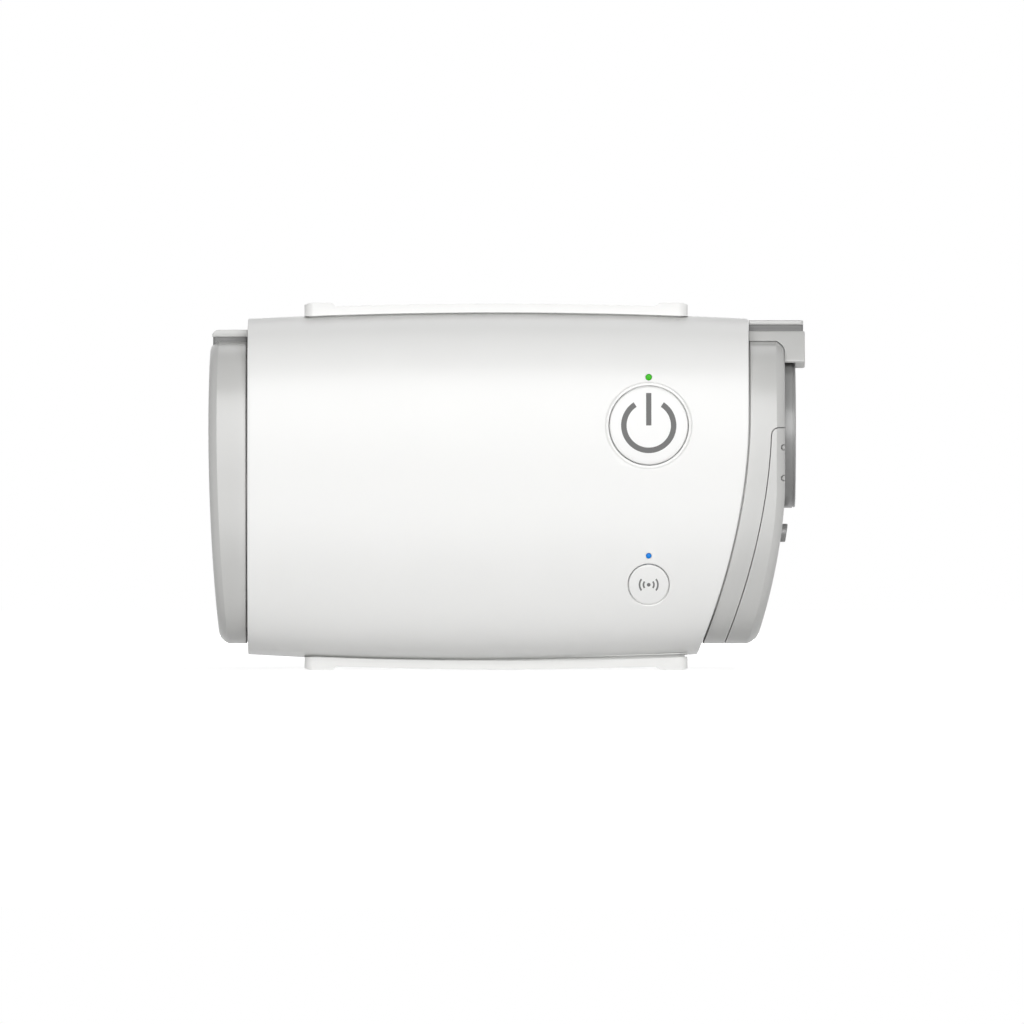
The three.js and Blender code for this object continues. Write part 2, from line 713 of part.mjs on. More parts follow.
function outletSkin() {
  const startX = sleeveEdge(sleeveBottom) - capOverlap - overrun;
  const outer = capBody(0, 1, startX, bezelEnd, capLip);
  const inner = capBody(capWall, 1, startX - overrun, (z) => bezelEnd(z) - capWall, capLip / 2, 1);
  const kept = beyond(bezelStart, bezelRight + overrun, sleeveBottom, 2 * midZ);
  const open = beyond((z) => sleeveEdge(z) + fit, bezelRight + overrun, 0, 2 * midZ);
  const room = joined(sleeveCore(sleeveWall + fit, startX - overrun, bezelRight), open);
  return without(outer, inner).intersect(kept).intersect(room);
}

const skin = outletSkin();
const socketRadius = ringBore + running;
const socketFloor = bezelRight - socketDepth;
const atOutlet = (profile, facets) =>
  solid(turned(profile, facets).rotateZ(-Math.PI / 2).translate(0, 0, outletZ));

const inletOutline = (grow) => roundedRectangle(-inletHalfDepth - grow, inletHalfDepth + grow,
  inletZ - inletHeight / 2 - grow, inletZ + inletHeight / 2 + grow, inletHeight / 2 + grow);

const socketOuter = socketRadius + socketWall;
const socketSpace = atOutlet(rod(socketOuter + fit, socketFloor - socketWall - fit, bezelRight + overrun));
const notches = [];
for (let i = 0; i < notchCount; i++) {
  const z = panelTop - notchMargin - i * notchPitch;
  const [start, end] = [-capHalfDepth - overrun, -capHalfDepth + notchReach];
  notches.push(pegY(bezelEnd(z), z, notchRadius, start, end, tinyFacets));
}
const panel = without(
  skin.intersect(panelRegion(0)),
  socketSpace,
  alongX(inletOutline(fit), bezelEnd(inletZ) - capWall - overrun, bezelRight + overrun),
  ...notches,
);
add('outlet_panel', panel, 'satinGrey');

const socketBore = atOutlet(rod(socketRadius, socketFloor, bezelRight + overrun));
const ductHole = atOutlet(rod(nozzleRadius + fit, socketFloor - socketWall - overrun, bezelRight));
const socketCup = atOutlet(rod(socketOuter, socketFloor - socketWall, bezelRight - capWall / 2));
const bezel = without(joined(skin.subtract(panelRegion(fit)), socketCup), socketBore, ductHole);
add('outlet_bezel', bezel, 'satinGrey');

// Outlet ring round the socket, and the soft seal on the socket's floor
const ringBack = bezelRight + fit;
const ringFront = ringBack + ringStand;
add('outlet_ring', atOutlet([
  [ringBore, ringBack],
  [ringRadius, ringBack],
  [ringRadius, ringFront - ringStand / 2],
  [ringRadius - ringStep, ringFront - ringStand / 2 + ringStep],
  [ringRadius - ringStep, ringFront - ringStep],
  [ringRadius - 2 * ringStep, ringFront],
  [ringBore + ringStep, ringFront],
  [ringBore, ringFront - ringStep],
  [ringBore, ringBack],
]), 'darkGrey');
add('outlet_seal', atOutlet(collar(nozzleRadius + fit, ringBore - fit, socketFloor + fit,
  socketFloor + fit + sealThickness)), 'silicone');

// Hood over the outlet: a block with a grooved edge that hangs over the end and arches round the ring
function outletHood() {
  const bottom = capTop - hoodFall;
  const top = midZ + sleeveHalfHeight(sleeveRight);
  const left = sleeveRight + fit;
  const outline = new THREE.Shape();
  outline.moveTo(left, bottom);
  outline.lineTo(hoodRight - hoodCorner, bottom);
  outline.absarc(hoodRight - hoodCorner, bottom + hoodCorner, hoodCorner, -Math.PI / 2, 0);
  outline.lineTo(hoodRight, top - hoodChamfer);
  outline.lineTo(hoodRight - hoodChamfer, top);
  outline.lineTo(left, top);
  const plan = (inset) => roundedRectangle(sleeveLeft, hoodRight - inset,
    -hoodHalfDepth + inset, hoodHalfDepth - inset, hoodPlanCorner - inset);
  const grooveTop = capTop + hoodRise - hoodBand;
  const groove = without(
    block(sleeveRight, hoodRight + overrun, -hoodHalfDepth - overrun, hoodHalfDepth + overrun,
      grooveTop - hoodGroove, grooveTop),
    alongZ(plan(hoodGrooveDepth), grooveTop - hoodGroove * 2, grooveTop + hoodGroove),
  );
  const underCrown = loft([
    sleeveRing(sleeveRight, fit, () => sleeveRight - overrun),
    sleeveRing(sleeveRight, fit * 2, () => hoodRight + overrun),
  ]);
  const overBezel = capBody(-fit, 1, sleeveRight - overrun, (z) => bezelEnd(z) + fit, capLip);
  const arch = atOutlet(rod(ringRadius + fit, bezelRight - overrun, hoodRight + overrun));
  const hood = alongY(outline, -hoodHalfDepth, hoodHalfDepth)
    .intersect(alongZ(plan(0), bottom, top + overrun))
    .intersect(underCrown);
  return without(hood, groove, overBezel, arch);
}
add('outlet_hood', outletHood(), 'satinGrey');

// Power inlet: a slotted surround that stands out of the end panel, with a contact tongue inside
const inletBack = bezelEnd(inletZ) - inletLength;
const inletSlot = roundedRectangle(-inletHalfDepth + inletWall, inletHalfDepth - inletWall,
  inletZ - inletHeight / 2 + inletWall, inletZ + inletHeight / 2 - inletWall, inletHeight / 2 - inletWall);
const inletFar = bezelRight + inletStand + overrun;
const inletBody = without(
  alongX(inletOutline(0), inletBack, inletFar - overrun),
  alongX(inletSlot, inletBack + inletWall, inletFar),
  beyond((z) => bezelEnd(z) + inletStand, inletFar, inletZ - inletHeight, inletZ + inletHeight),
);
const tongueHalfDepth = contactPitch * contactCount / 2;
const tongueSlot = block(inletBack - overrun, inletBack + inletWall + overrun, -tongueHalfDepth - running,
  tongueHalfDepth + running, inletZ - tongueThickness / 2 - running, inletZ + tongueThickness / 2 + running);
add('power_inlet_surround', inletBody.subtract(tongueSlot), 'darkGrey');
const tongueRight = bezelEnd(inletZ) - inletStand;
const tongueBack = inletBack - tongueTail;
const contactBack = tongueBack - contactTail;
const tongueBody = block(tongueBack, tongueRight, -tongueHalfDepth, tongueHalfDepth,
  inletZ - tongueThickness / 2, inletZ + tongueThickness / 2);
const contactY = (i) => (i - (contactCount - 1) / 2) * contactPitch;
const grooves = [];
for (let i = 0; i < contactCount; i++) {
  grooves.push(pegX(contactY(i), inletZ, contactRadius + running / 2, tongueBack - overrun,
    tongueRight + overrun, tinyFacets));
}
add('power_inlet_tongue', without(tongueBody, ...grooves), 'black');
for (let i = 0; i < contactCount; i++) {
  const contact = pegX(contactY(i), inletZ, contactRadius, contactBack, tongueRight, tinyFacets);
  add(`power_contact_${i + 1}`, contact, 'gold');
}

// Inner chassis: back plate and two shelves that follow the inside of the sleeve, with screw bosses
const chassisSkin = sleeveWall + fit;
const shelfFront = boardFront + boardThickness + fit;
const screwX = [boardLeft + bossRadius + fit, boardRight - bossRadius - fit];
const screwZ = [midZ - boardHalfHeight + bossRadius, midZ + boardHalfHeight - bossRadius];

function chassis() {
  const back = chassisBack - chassisWall;
  const outer = block(chassisLeft, chassisRight, shelfFront, chassisBack,
    midZ - chassisHalfHeight, midZ + chassisHalfHeight);
  const inside = block(chassisLeft - overrun, chassisRight + overrun, shelfFront - overrun, back,
    midZ - chassisHalfHeight + chassisWall, midZ + chassisHalfHeight - chassisWall)
    .intersect(sleeveCore(chassisSkin + chassisWall, sleeveLeft, sleeveRight));
  const bosses = [];
  const pilots = [];
  for (const x of screwX) {
    for (const z of screwZ) {
      const shelf = z > midZ ? midZ + chassisHalfHeight : midZ - chassisHalfHeight;
      const low = Math.min(z, shelf);
      const high = Math.max(z, shelf);
      const post = joined(
        pegY(x, z, bossRadius, shelfFront, shelfFront + screwLength),
        block(x - bossRadius / 2, x + bossRadius / 2, shelfFront, shelfFront + screwLength, low, high),
      );
      bosses.push(post);
      const pilotEnd = shelfFront + screwLength - chassisWall;
      pilots.push(pegY(x, z, screwRadius + running, shelfFront - overrun, pilotEnd, tinyFacets));
    }
  }
  const room = sleeveCore(chassisSkin, sleeveLeft, sleeveRight);
  const behindSleeveEdge = beyond((z) => sleeveEdge(z) - capOverlap - fit, bezelRight, 0, 2 * midZ);
  return without(joined(outer.subtract(inside), ...bosses), ...pilots, behindSleeveEdge).intersect(room);
}
add('inner_chassis', chassis(), 'darkGrey');

// Blower, built round its own axis and placed as a group
const blower = new THREE.Group();
blower.position.set(blowerX, 0, blowerZ);
machine.add(blower);

// Spiral scroll, widening clockwise from the tongue to the top, with its straight exit
function scroll(grow, y0, y1, exitRight) {
  const points = [];
  const steps = 24;
  const start = Math.acos((tongueZ - grow) / (voluteStart + grow));
  for (let i = 0; i <= steps; i++) {
    const turn = start + (2 * Math.PI - start) * i / steps;
    const widened = voluteGrowth * (turn - tongueTurn) / (2 * Math.PI - tongueTurn);
    const radius = voluteStart + Math.max(0, widened) + grow;
    points.push([radius * Math.sin(turn), radius * Math.cos(turn)]);
  }
  points.push([exitRight, voluteEnd + grow], [exitRight, points[0][1]]);
  return alongY(polygon(points.reverse()), y0, y1);
}

const backPlate = voluteHalfDepth + voluteWall;
const bossEnd = backPlate + bearingRoom;
const bearingFront = bossEnd - bearingLength - running;
const voluteBase = without(
  joined(
    scroll(voluteWall, -voluteHalfDepth, backPlate, voluteExit),
    turnedY(rod(bearingRadius + bearingBossWall, voluteHalfDepth, bossEnd)),
  ),
  scroll(0, -voluteHalfDepth - overrun, voluteHalfDepth, voluteExit + overrun),
  turnedY(rod(shaftRadius + fit * 2, 0, bossEnd + overrun)),
  turnedY(rod(bearingRadius + running, bearingFront - running, bossEnd + overrun)),
);
add('volute_base', voluteBase, 'black', blower);

const lidBack = -voluteHalfDepth - fit;
const lidFront = lidBack - voluteWall;
const voluteLid = joined(
  scroll(voluteWall, lidFront, lidBack, voluteExit),
  turnedY(rod(impellerEye + inletLip, lidFront - inletLip, lidBack)),
).subtract(turnedY([
  [0, lidFront - inletLip - overrun],
  [impellerEye + inletLip / 2, lidFront - inletLip - overrun],
  [impellerEye + inletLip / 2, lidFront - inletLip],
  [impellerEye, lidFront],
  [impellerEye, lidBack + overrun],
  [0, lidBack + overrun],
]));
add('volute_lid', voluteLid, 'black', blower);

// Impeller: disc, hub, swept blades and a shroud ring with the eye
function impeller() {
  const back = impellerHalfHeight;
  const front = -impellerHalfHeight;
  const disc = turnedY(rod(impellerRadius, back - discThickness, back));
  const hub = turnedY([[0, front + discThickness], [hubRadius / 2, front + discThickness],
    [hubRadius, 0], [hubRadius, back], [0, back]], smallFacets);
  const shroud = turnedY(collar(impellerEye, impellerRadius, front, front + discThickness));
  const steps = 4;
  const line = (side) => {
    const points = [];
    for (let i = 0; i <= steps; i++) {
      const share = i / steps;
      const radius = bladeRoot + (impellerRadius - bladeThickness - bladeRoot) * share;
      const turn = -bladeSweepShare * 2 * Math.PI * Math.sqrt(share) + side * bladeThickness / 2 / radius;
      points.push([radius * Math.sin(turn), radius * Math.cos(turn)]);
    }
    return points;
  };
  const bladeOutline = polygon([...line(-1), ...line(1).reverse()].reverse());
  const blades = [];
  for (let i = 0; i < bladeCount; i++) {
    const plate = extruded(bladeOutline, back - front - discThickness);
    plate.rotateX(Math.PI / 2).translate(0, back - discThickness / 2, 0);
    blades.push(solid(plate.rotateY(i / bladeCount * 2 * Math.PI)));
  }
  return joined(disc, hub, shroud, ...blades).subtract(
    turnedY(rod(shaftRadius + running / 2, front - overrun, back + overrun), smallFacets));
}
add('impeller', impeller(), 'whiteShell', blower);

const magnetFront = bossEnd + fit + running;
const magnetBack = magnetFront + magnetLength;
const pocketFront = magnetBack + fit + running;
const pocketBack = pocketFront + bearingRoom;
const canBack = pocketBack + canWall;
add('rotor_shaft', turnedY(rod(shaftRadius, -impellerHalfHeight + discThickness * 2, pocketBack - running),
  smallFacets), 'steel', blower);
const magnetProfile = collar(shaftRadius + running / 2, magnetRadius, magnetFront, magnetBack);
add('rotor_magnet', turnedY(magnetProfile, smallFacets), 'steel', blower);
const bearing = (start) => turnedY([
  [shaftRadius + running, start],
  [bearingRadius, start],
  [bearingRadius, start + bearingLength],
  [shaftRadius + running, start + bearingLength],
  [shaftRadius + running, start],
], smallFacets);
add('bearing_front', bearing(bearingFront), 'steel', blower);
add('bearing_rear', bearing(pocketFront + running), 'steel', blower);

// Stator: a yoke with six teeth, each with its coil
function stator() {
  const yoke = turnedY(collar(statorRadius - yokeWidth, statorRadius, magnetFront, magnetBack));
  const teeth = [];
  const inner = magnetRadius + airGap + running * 2;
  const outer = statorRadius - yokeWidth;
  const middle = (magnetFront + magnetBack) / 2;
  for (let i = 0; i < statorTeeth; i++) {
    const tooth = new THREE.BoxGeometry(toothHalfWidth * 2, magnetLength, outer + yokeWidth / 2 - inner)
      .translate(0, middle, (outer + yokeWidth / 2 + inner) / 2);
    const coil = new THREE.BoxGeometry(coilHalfWidth * 2, magnetLength + coilRise * 2, outer - inner - fit)
      .translate(0, middle, (outer + inner) / 2);
    const turn = i / statorTeeth * 2 * Math.PI;
    teeth.push(solid(tooth.rotateY(turn)), solid(coil.rotateY(turn)));
  }
  return joined(yoke, ...teeth);
}
add('stator', stator(), 'copper', blower);

const canInner = statorRadius + fit;
const canFront = backPlate + fit;
const motorCan = without(
  joined(
    turnedY(rod(canInner + canWall, canFront, canBack)).subtract(
      turnedY(rod(canInner, canFront - overrun, canBack - canWall))),
    turnedY(rod(bearingRadius + bearingBossWall, pocketFront, canBack)),
  ),
  turnedY(rod(bearingRadius + running, pocketFront - overrun, pocketBack)),
);
add('motor_can', motorCan, 'steel', blower);

// Rubber posts that carry the blower on the chassis
const postFront = backPlate + fit;
const postBack = chassisBack - chassisWall - fit;
const postMiddle = (postFront + postBack) / 2;
const post = turned([
  [0, postFront],
  [mountRadius, postFront],
  [mountRadius, postFront + mountRadius / 2],
  [mountWaist, postMiddle],
  [mountRadius, postBack - mountRadius / 2],
  [mountRadius, postBack],
  [0, postBack],
], smallFacets);
for (let i = 0; i < mountCount; i++) {
  const turn = (i + 0.5) / mountCount * 2 * Math.PI;
  const mount = add(`blower_mount_${i + 1}`, solid(post), 'silicone', blower);
  mount.position.set(mountCircle * Math.sin(turn), 0, mountCircle * Math.cos(turn));
}

// Air way: bellows from the scroll, then a duct that turns from oblong to round and ends in the nozzle
const wayHalfHeight = (voluteEnd - tongueZ) / 2;
const bellowsStart = blowerX + voluteExit + fit;
const bellowsEnd = bellowsStart + bellowsLength;
const oblongShare = 6;        // exponents of the two sections
const roundShare = 2;

function bellows() {
  const outer = [];
  const inner = [];
  const stations = bellowsFolds * 2;
  for (let i = 0; i <= stations; i++) {
    const x = bellowsStart + bellowsLength * i / stations;
    const grow = i % 2 ? bellowsFold : 0;
    const depth = voluteHalfDepth - bellowsFold + grow;
    const height = wayHalfHeight - bellowsFold + grow;
    const past = i === 0 ? -overrun : i === stations ? overrun : 0;
    outer.push(ring(depth + voluteWall, height + voluteWall, outletZ, () => x, oblongShare, oblongFacets));
    inner.push(ring(depth, height, outletZ, () => x + past, oblongShare, oblongFacets));
  }
  return loft(outer).subtract(loft(inner));
}
add('duct_bellows', bellows(), 'silicone');

function duct() {
  const start = bellowsEnd + fit;
  const end = bezelRight + nozzleStand;
  const way = (inset, from, to) => {
    const rings = [];
    const blendSteps = 3;
    for (let i = 0; i <= blendSteps; i++) {
      const share = i / blendSteps;
      const x = i === 0 ? from : start + ductBlend * share;
      const depth = THREE.MathUtils.lerp(voluteHalfDepth, nozzleRadius - ductWall, share);
      const height = THREE.MathUtils.lerp(wayHalfHeight, nozzleRadius - ductWall, share);
      rings.push(ring(depth + inset, height + inset, outletZ, () => x,
        THREE.MathUtils.lerp(oblongShare, roundShare, share), roundFacets));
    }
    const straight = nozzleRadius - ductWall + inset;
    rings.push(ring(straight, straight, outletZ, () => to, roundShare, roundFacets));
    return loft(rings);
  };
  return way(ductWall, start, end).subtract(way(0, start - overrun, end + overrun));
}
add('outlet_duct', duct(), 'darkGrey');

// Flow sensor on the duct
const sensorX = (bellowsEnd + ductBlend + socketFloor) / 2;
const sensorBottom = outletZ + nozzleRadius + fit;
add('flow_sensor', joined(
  block(sensorX - sensorHalfWidth, sensorX + sensorHalfWidth, -sensorHalfWidth, sensorHalfWidth,
    sensorBottom, sensorBottom + sensorHeight),
  block(sensorX - sensorHalfWidth / 2, sensorX + sensorHalfWidth / 2, -sensorHalfWidth - sensorHeight / 2,
    -sensorHalfWidth, sensorBottom + sensorHeight / 3, sensorBottom + sensorHeight),
), 'black');

// Foam blocks that quiet the intake, above and below the air way
for (const [name, side] of [['intake_foam_upper', 1], ['intake_foam_lower', -1]]) {
  const shelf = midZ + side * (chassisHalfHeight - chassisWall - fit);
  const inner = shelf - side * foamHeight;
  const foamLeft = chassisLeft + fit;
  const foamBack = chassisBack - chassisWall - fit;
  const foam = block(foamLeft, foamLeft + foamLength, shelfFront + chassisWall, foamBack,
    Math.min(shelf, inner), Math.max(shelf, inner));
  const room = sleeveCore(chassisSkin + chassisWall + fit, sleeveLeft, sleeveRight);
  add(name, foam.intersect(room), 'foam');
}

// Circuit board with its holes, parts and screws
const boardBack = boardFront + boardThickness;
const boardOutline = roundedRectangle(boardLeft, boardRight,
  midZ - boardHalfHeight, midZ + boardHalfHeight, bossRadius);
const boardSolid = alongY(boardOutline, boardFront, boardBack);
const boardHoles = screwX.flatMap((x) => screwZ.map((z) =>
  pegY(x, z, screwRadius + fit, boardFront - overrun, boardBack + overrun, tinyFacets)));
add('main_board', without(boardSolid, ...boardHoles)
  .subtract(beyond((z) => sleeveEdge(z) - capOverlap - fit, bezelRight, 0, 2 * midZ)), 'boardGreen');

const screwProfile = [
  [0, boardFront - running - screwHeadHeight],
  [screwHead - screwChamfer, boardFront - running - screwHeadHeight],
  [screwHead, boardFront - running - screwHeadHeight + screwChamfer],
  [screwHead, boardFront - running],
  [screwRadius, boardFront - running],
  [screwRadius, boardFront + screwLength - chassisWall],
  [0, boardFront + screwLength],
];
let screwNumber = 0;
for (const x of screwX) {
  for (const z of screwZ) {
    screwNumber += 1;
    const screw = add(`board_screw_${screwNumber}`, turnedY(screwProfile, tinyFacets), 'steel');
    screw.position.set(x, 0, z);
  }
}

// Parts soldered on the front of the board
function chip(name, x, z, halfWidth, halfHeight, height, finish = 'black') {
  const face = boardFront - running;
  const body = block(x - halfWidth, x + halfWidth, face - height, face, z - halfHeight, z + halfHeight);
  add(name, body, finish);
}
const boardMiddle = (boardLeft + boardRight) / 2;
const chipX = boardLeft + chipMargin + chipHalf;
const moduleZ = midZ + boardHalfHeight * moduleRiseShare;
const driverZ = midZ - boardHalfHeight * driverDropShare;
chip('processor_chip', chipX, midZ, chipHalf, chipHalf, chipHeight);
chip('motor_driver_chip', chipX, driverZ, driverHalf, driverHalf, chipHeight);
chip('wireless_module', chipX, moduleZ, moduleHalf, chipHalf, moduleHeight, 'steel');
chip('power_led', buttonX, powerLightZ, ledSize / 2, ledSize / 2, ledHeight, 'whiteShell');
chip('wireless_led', buttonX, wirelessLightZ, ledSize / 2, ledSize / 2, ledHeight, 'whiteShell');

// Switches under the buttons: a case with a plunger that sinks into it
function tactSwitch(name, z, travel) {
  const face = boardFront - running;
  const front = face - switchHeight;
  const wellEnd = Math.min(front + plungerStand + travel + fit * 2, face - running);
  const well = pegY(buttonX, z, plungerRadius + running, front - overrun, wellEnd);
  const housing = block(buttonX - switchHalfWidth, buttonX + switchHalfWidth, front, face,
    z - switchHalfWidth, z + switchHalfWidth).subtract(well);
  add(name, housing, 'black');
  const plunger = pegY(buttonX, z, plungerRadius, front - plungerStand, front + plungerStand);
  add(`${name}_plunger`, plunger, 'steel');
}
tactSwitch('power_switch', powerZ, powerTravel);
tactSwitch('wireless_switch', wirelessZ, wirelessTravel);

// Capacitors and plugs on the back of the board, and the leads to the motor and the inlet
for (let i = 0; i < capacitorCount; i++) {
  const x = boardMiddle + (i - (capacitorCount - 1) / 2) * capacitorPitch;
  const can = pegY(x, midZ - boardHalfHeight * capacitorDropShare, capacitorRadius, boardBack + running,
    boardBack + running + capacitorLength);
  add(`capacitor_${i + 1}`, can, 'steel');
}
const plugZ = midZ - boardHalfHeight * plugDropShare;
const scrollSideShare = 1 + voluteGrowthShare * (0.25 - tongueTurnShare) / (1 - tongueTurnShare);
const besideScroll = blowerX + voluteStart * scrollSideShare + voluteWall + leadRoom;
const motorPlugX = Math.max(boardLeft + plugHalf * 2, besideScroll);
const inletPlugX = boardRight - plugHalf * 3;
for (const [name, x] of [['motor_plug', motorPlugX], ['inlet_plug', inletPlugX]]) {
  add(name, block(x - plugHalf, x + plugHalf, boardBack + running, boardBack + running + plugDepth,
    plugZ - plugHalf, plugZ + plugHalf), 'whiteShell');
}

function lead(points) {
  const path = new THREE.CatmullRomCurve3(points.map(([x, y, z]) => new THREE.Vector3(x, y, z)));
  const section = new THREE.Shape();
  for (let i = 0; i < leadFacets; i++) {
    const turn = i / leadFacets * 2 * Math.PI;
    const [a, b] = [leadRadius * Math.cos(turn), leadRadius * Math.sin(turn)];
    if (i) section.lineTo(a, b);
    else section.moveTo(a, b);
  }
  const options = { steps: leadSteps, extrudePath: path, bevelEnabled: false };
  return solid(new THREE.ExtrudeGeometry(section, options));
}
const plugBack = boardBack + plugDepth + fit + running;
const canSide = blowerX + canInner + canWall + fit;
const canMiddle = (canFront + canBack) / 2;
add('motor_lead', lead([
  [motorPlugX, plugBack, plugZ],
  [motorPlugX, plugBack + plugDepth, plugZ],
  [motorPlugX, canMiddle - plugDepth, plugZ - plugHalf],
  [motorPlugX - plugHalf, canMiddle, blowerZ + plugHalf],
  [canSide, canMiddle, blowerZ],
]), 'black');
add('inlet_lead', lead([
  [inletPlugX, plugBack, plugZ],
  [inletPlugX, plugBack + plugDepth, plugZ],
  [inletPlugX + plugHalf, -plugHalf, inletZ + plugHalf],
  [contactBack - plugDepth, 0, inletZ],
  [contactBack - fit, 0, inletZ],
]), 'black');

export default machine;
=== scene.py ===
# %% [markdown]
# A palm-sized air pump for breathing therapy. A white rounded sleeve runs from end to end, a grey
# filter cover closes its left end, and the air leaves through a round outlet on the right.
# The solids of every piece come in as a fixed frame. Outside pieces get a fine smooth form around
# it, and the pieces inside keep their solids and get a finish.

# %% The frame
import json
import math

import bmesh
import bpy
from mathutils import Matrix, Vector


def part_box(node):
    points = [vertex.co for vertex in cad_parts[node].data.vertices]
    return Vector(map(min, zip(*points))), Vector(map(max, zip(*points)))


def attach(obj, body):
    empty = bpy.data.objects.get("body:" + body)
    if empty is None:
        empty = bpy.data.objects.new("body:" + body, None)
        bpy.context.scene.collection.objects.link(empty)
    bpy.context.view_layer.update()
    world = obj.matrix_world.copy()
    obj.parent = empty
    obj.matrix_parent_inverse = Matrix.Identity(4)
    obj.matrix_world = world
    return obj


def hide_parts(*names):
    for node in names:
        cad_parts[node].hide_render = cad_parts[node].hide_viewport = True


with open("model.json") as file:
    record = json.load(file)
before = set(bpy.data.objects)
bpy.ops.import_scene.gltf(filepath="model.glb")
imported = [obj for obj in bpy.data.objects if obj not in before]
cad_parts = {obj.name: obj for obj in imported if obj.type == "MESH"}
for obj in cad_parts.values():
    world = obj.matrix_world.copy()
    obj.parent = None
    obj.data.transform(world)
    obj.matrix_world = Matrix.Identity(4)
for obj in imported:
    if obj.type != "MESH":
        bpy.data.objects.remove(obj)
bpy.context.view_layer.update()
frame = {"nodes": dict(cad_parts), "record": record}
scene = bpy.context.scene
MM = 0.001


def linked(name, data):
    """A new object in the scene."""
    made = bpy.data.objects.new(name, data)
    scene.collection.objects.link(made)
    return made


# %% [markdown]
# The camera comes first, because everything is judged through it. The machine is seen square on
# from its button face, from far away with a long lens, so that its ends show no perspective.
# The place of the lens follows from where the machine's middle and the ground lie in the picture.

# %% Camera
picture_side_px = 1024
metres_per_px = 0.229 * MM
machine_middle_px = 507
ground_px = 670
camera_distance = 5.0

camera_data = bpy.data.cameras.new("camera")
camera_data.lens = camera_data.sensor_width * camera_distance / (picture_side_px * metres_per_px)
camera_data.clip_end = 4 * camera_distance
camera = linked("camera", camera_data)
camera.location = (
    (picture_side_px / 2 - machine_middle_px) * metres_per_px,
    -camera_distance,
    (ground_px - picture_side_px / 2) * metres_per_px,
)
camera.rotation_euler = (math.pi / 2, 0, 0)
scene.camera = camera
scene.view_settings.view_transform = "Standard"
print("lens:", round(camera_data.lens), "mm at", camera_distance, "m")

# %% [markdown]
# The shapes of this machine are mostly sheets bent round an axis: a grid of faces is made flat by
# one operator, and each of its points is then carried to its place by a short formula. One helper
# does that for all of them. Points that land on one spot are welded, which closes seams and poles.

# %% Sheets
WELD = 0.002 * MM
SAME_SPOT = WELD / 4


def sheet(columns, rows, place, skip=None):
    """A grid bent by place(turn, row): turn runs from 0 to 1 across it, row from 0 to rows."""
    bm = bmesh.new()
    bmesh.ops.create_grid(bm, x_segments=columns, y_segments=rows, size=0.5)
    if skip:
        left_out = []
        for face in bm.faces:
            middle = face.calc_center_median()
            if skip(middle.x + 0.5, (middle.y + 0.5) * rows):
                left_out.append(face)
        bmesh.ops.delete(bm, geom=left_out, context="FACES")
    for vert in bm.verts:
        vert.co = place(vert.co.x + 0.5, round((vert.co.y + 0.5) * rows))
    return welded(bm)


def welded(bm):
    bmesh.ops.remove_doubles(bm, verts=bm.verts, dist=WELD)
    bmesh.ops.dissolve_degenerate(bm, dist=SAME_SPOT, edges=bm.edges)
    bmesh.ops.recalc_face_normals(bm, faces=bm.faces)
    return bm


def turned(stations, middle, columns=96, axis="X"):
    """A revolved piece: stations are pairs of radius and place along the axis."""

    def place(turn, row):
        radius, along = stations[row]
        across = radius * math.cos(math.tau * turn)
        up = radius * math.sin(math.tau * turn)
        if axis == "X":
            return Vector((along, middle[1] + across, middle[2] + up))
        return Vector((middle[0] + across, along, middle[2] + up))

    return sheet(columns, len(stations) - 1, place)


def evenly(start, end, steps):
    """Places from start to end in equal steps."""
    return [start + (end - start) * i / steps for i in range(steps + 1)]


def fillet(radius, steps):
    """Pairs of cosine and sine distances along a quarter of a circle."""
    turns = [math.radians(angle) for angle in evenly(0.0, 90.0, steps)]
    return [(radius * (1 - math.cos(t)), radius * (1 - math.sin(t))) for t in turns]


print("weld distance:", WELD / MM, "mm")

# %% [markdown]
# Straight-sided pieces start as an outline. One face is drawn round the outline, and the extrude
# operator pulls it to its thickness. Holes and slots are cut with a Boolean modifier that is
# applied at once, so that each piece stays one closed mesh.

# %% Slabs and cuts
def thickened(bm, thickness):
    """Extrudes the faces along a vector, which makes a closed body of them."""
    pulled = bmesh.ops.extrude_face_region(bm, geom=list(bm.faces))
    moved = [item for item in pulled["geom"] if isinstance(item, bmesh.types.BMVert)]
    bmesh.ops.translate(bm, verts=moved, vec=Vector(thickness))
    bmesh.ops.recalc_face_normals(bm, faces=bm.faces)
    return bm


def slab(outline, thickness):
    """A face round the outline, extruded along the vector thickness."""
    bm = bmesh.new()
    points = [Vector(point) for point in outline]
    points = [point for i, point in enumerate(points) if (point - points[i - 1]).length > SAME_SPOT]
    bm.faces.new([bm.verts.new(point) for point in points])
    return thickened(bm, thickness)


def rounded(u0, u1, v0, v1, corner, steps=10):
    """Points of a rectangle with round corners, in its own two directions."""
    points = []
    middles = [(u1 - corner, v1 - corner), (u0 + corner, v1 - corner),
               (u0 + corner, v0 + corner), (u1 - corner, v0 + corner)]
    for quarter, (u, v) in enumerate(middles):
        for i in range(steps + 1):
            turn = (quarter + i / steps) * math.pi / 2
            points.append((u + corner * math.cos(turn), v + corner * math.sin(turn)))
    return points


def soften(bm, width, segments=3, sharper_than=40, only=None):
    """Rounds the edges that are sharper than an angle."""
    edges = []
    for edge in bm.edges:
        if len(edge.link_faces) == 2 and edge.calc_face_angle(0) > math.radians(sharper_than):
            if only is None or only(edge):
                edges.append(edge)
    bmesh.ops.bevel(bm, geom=edges, offset=width, segments=segments, profile=0.5,
                    affect="EDGES", material=-1, clamp_overlap=True)
    return bm


def mesh_of(name, bm):
    mesh = bpy.data.meshes.new(name)
    bm.to_mesh(mesh)
    bm.free()
    return mesh


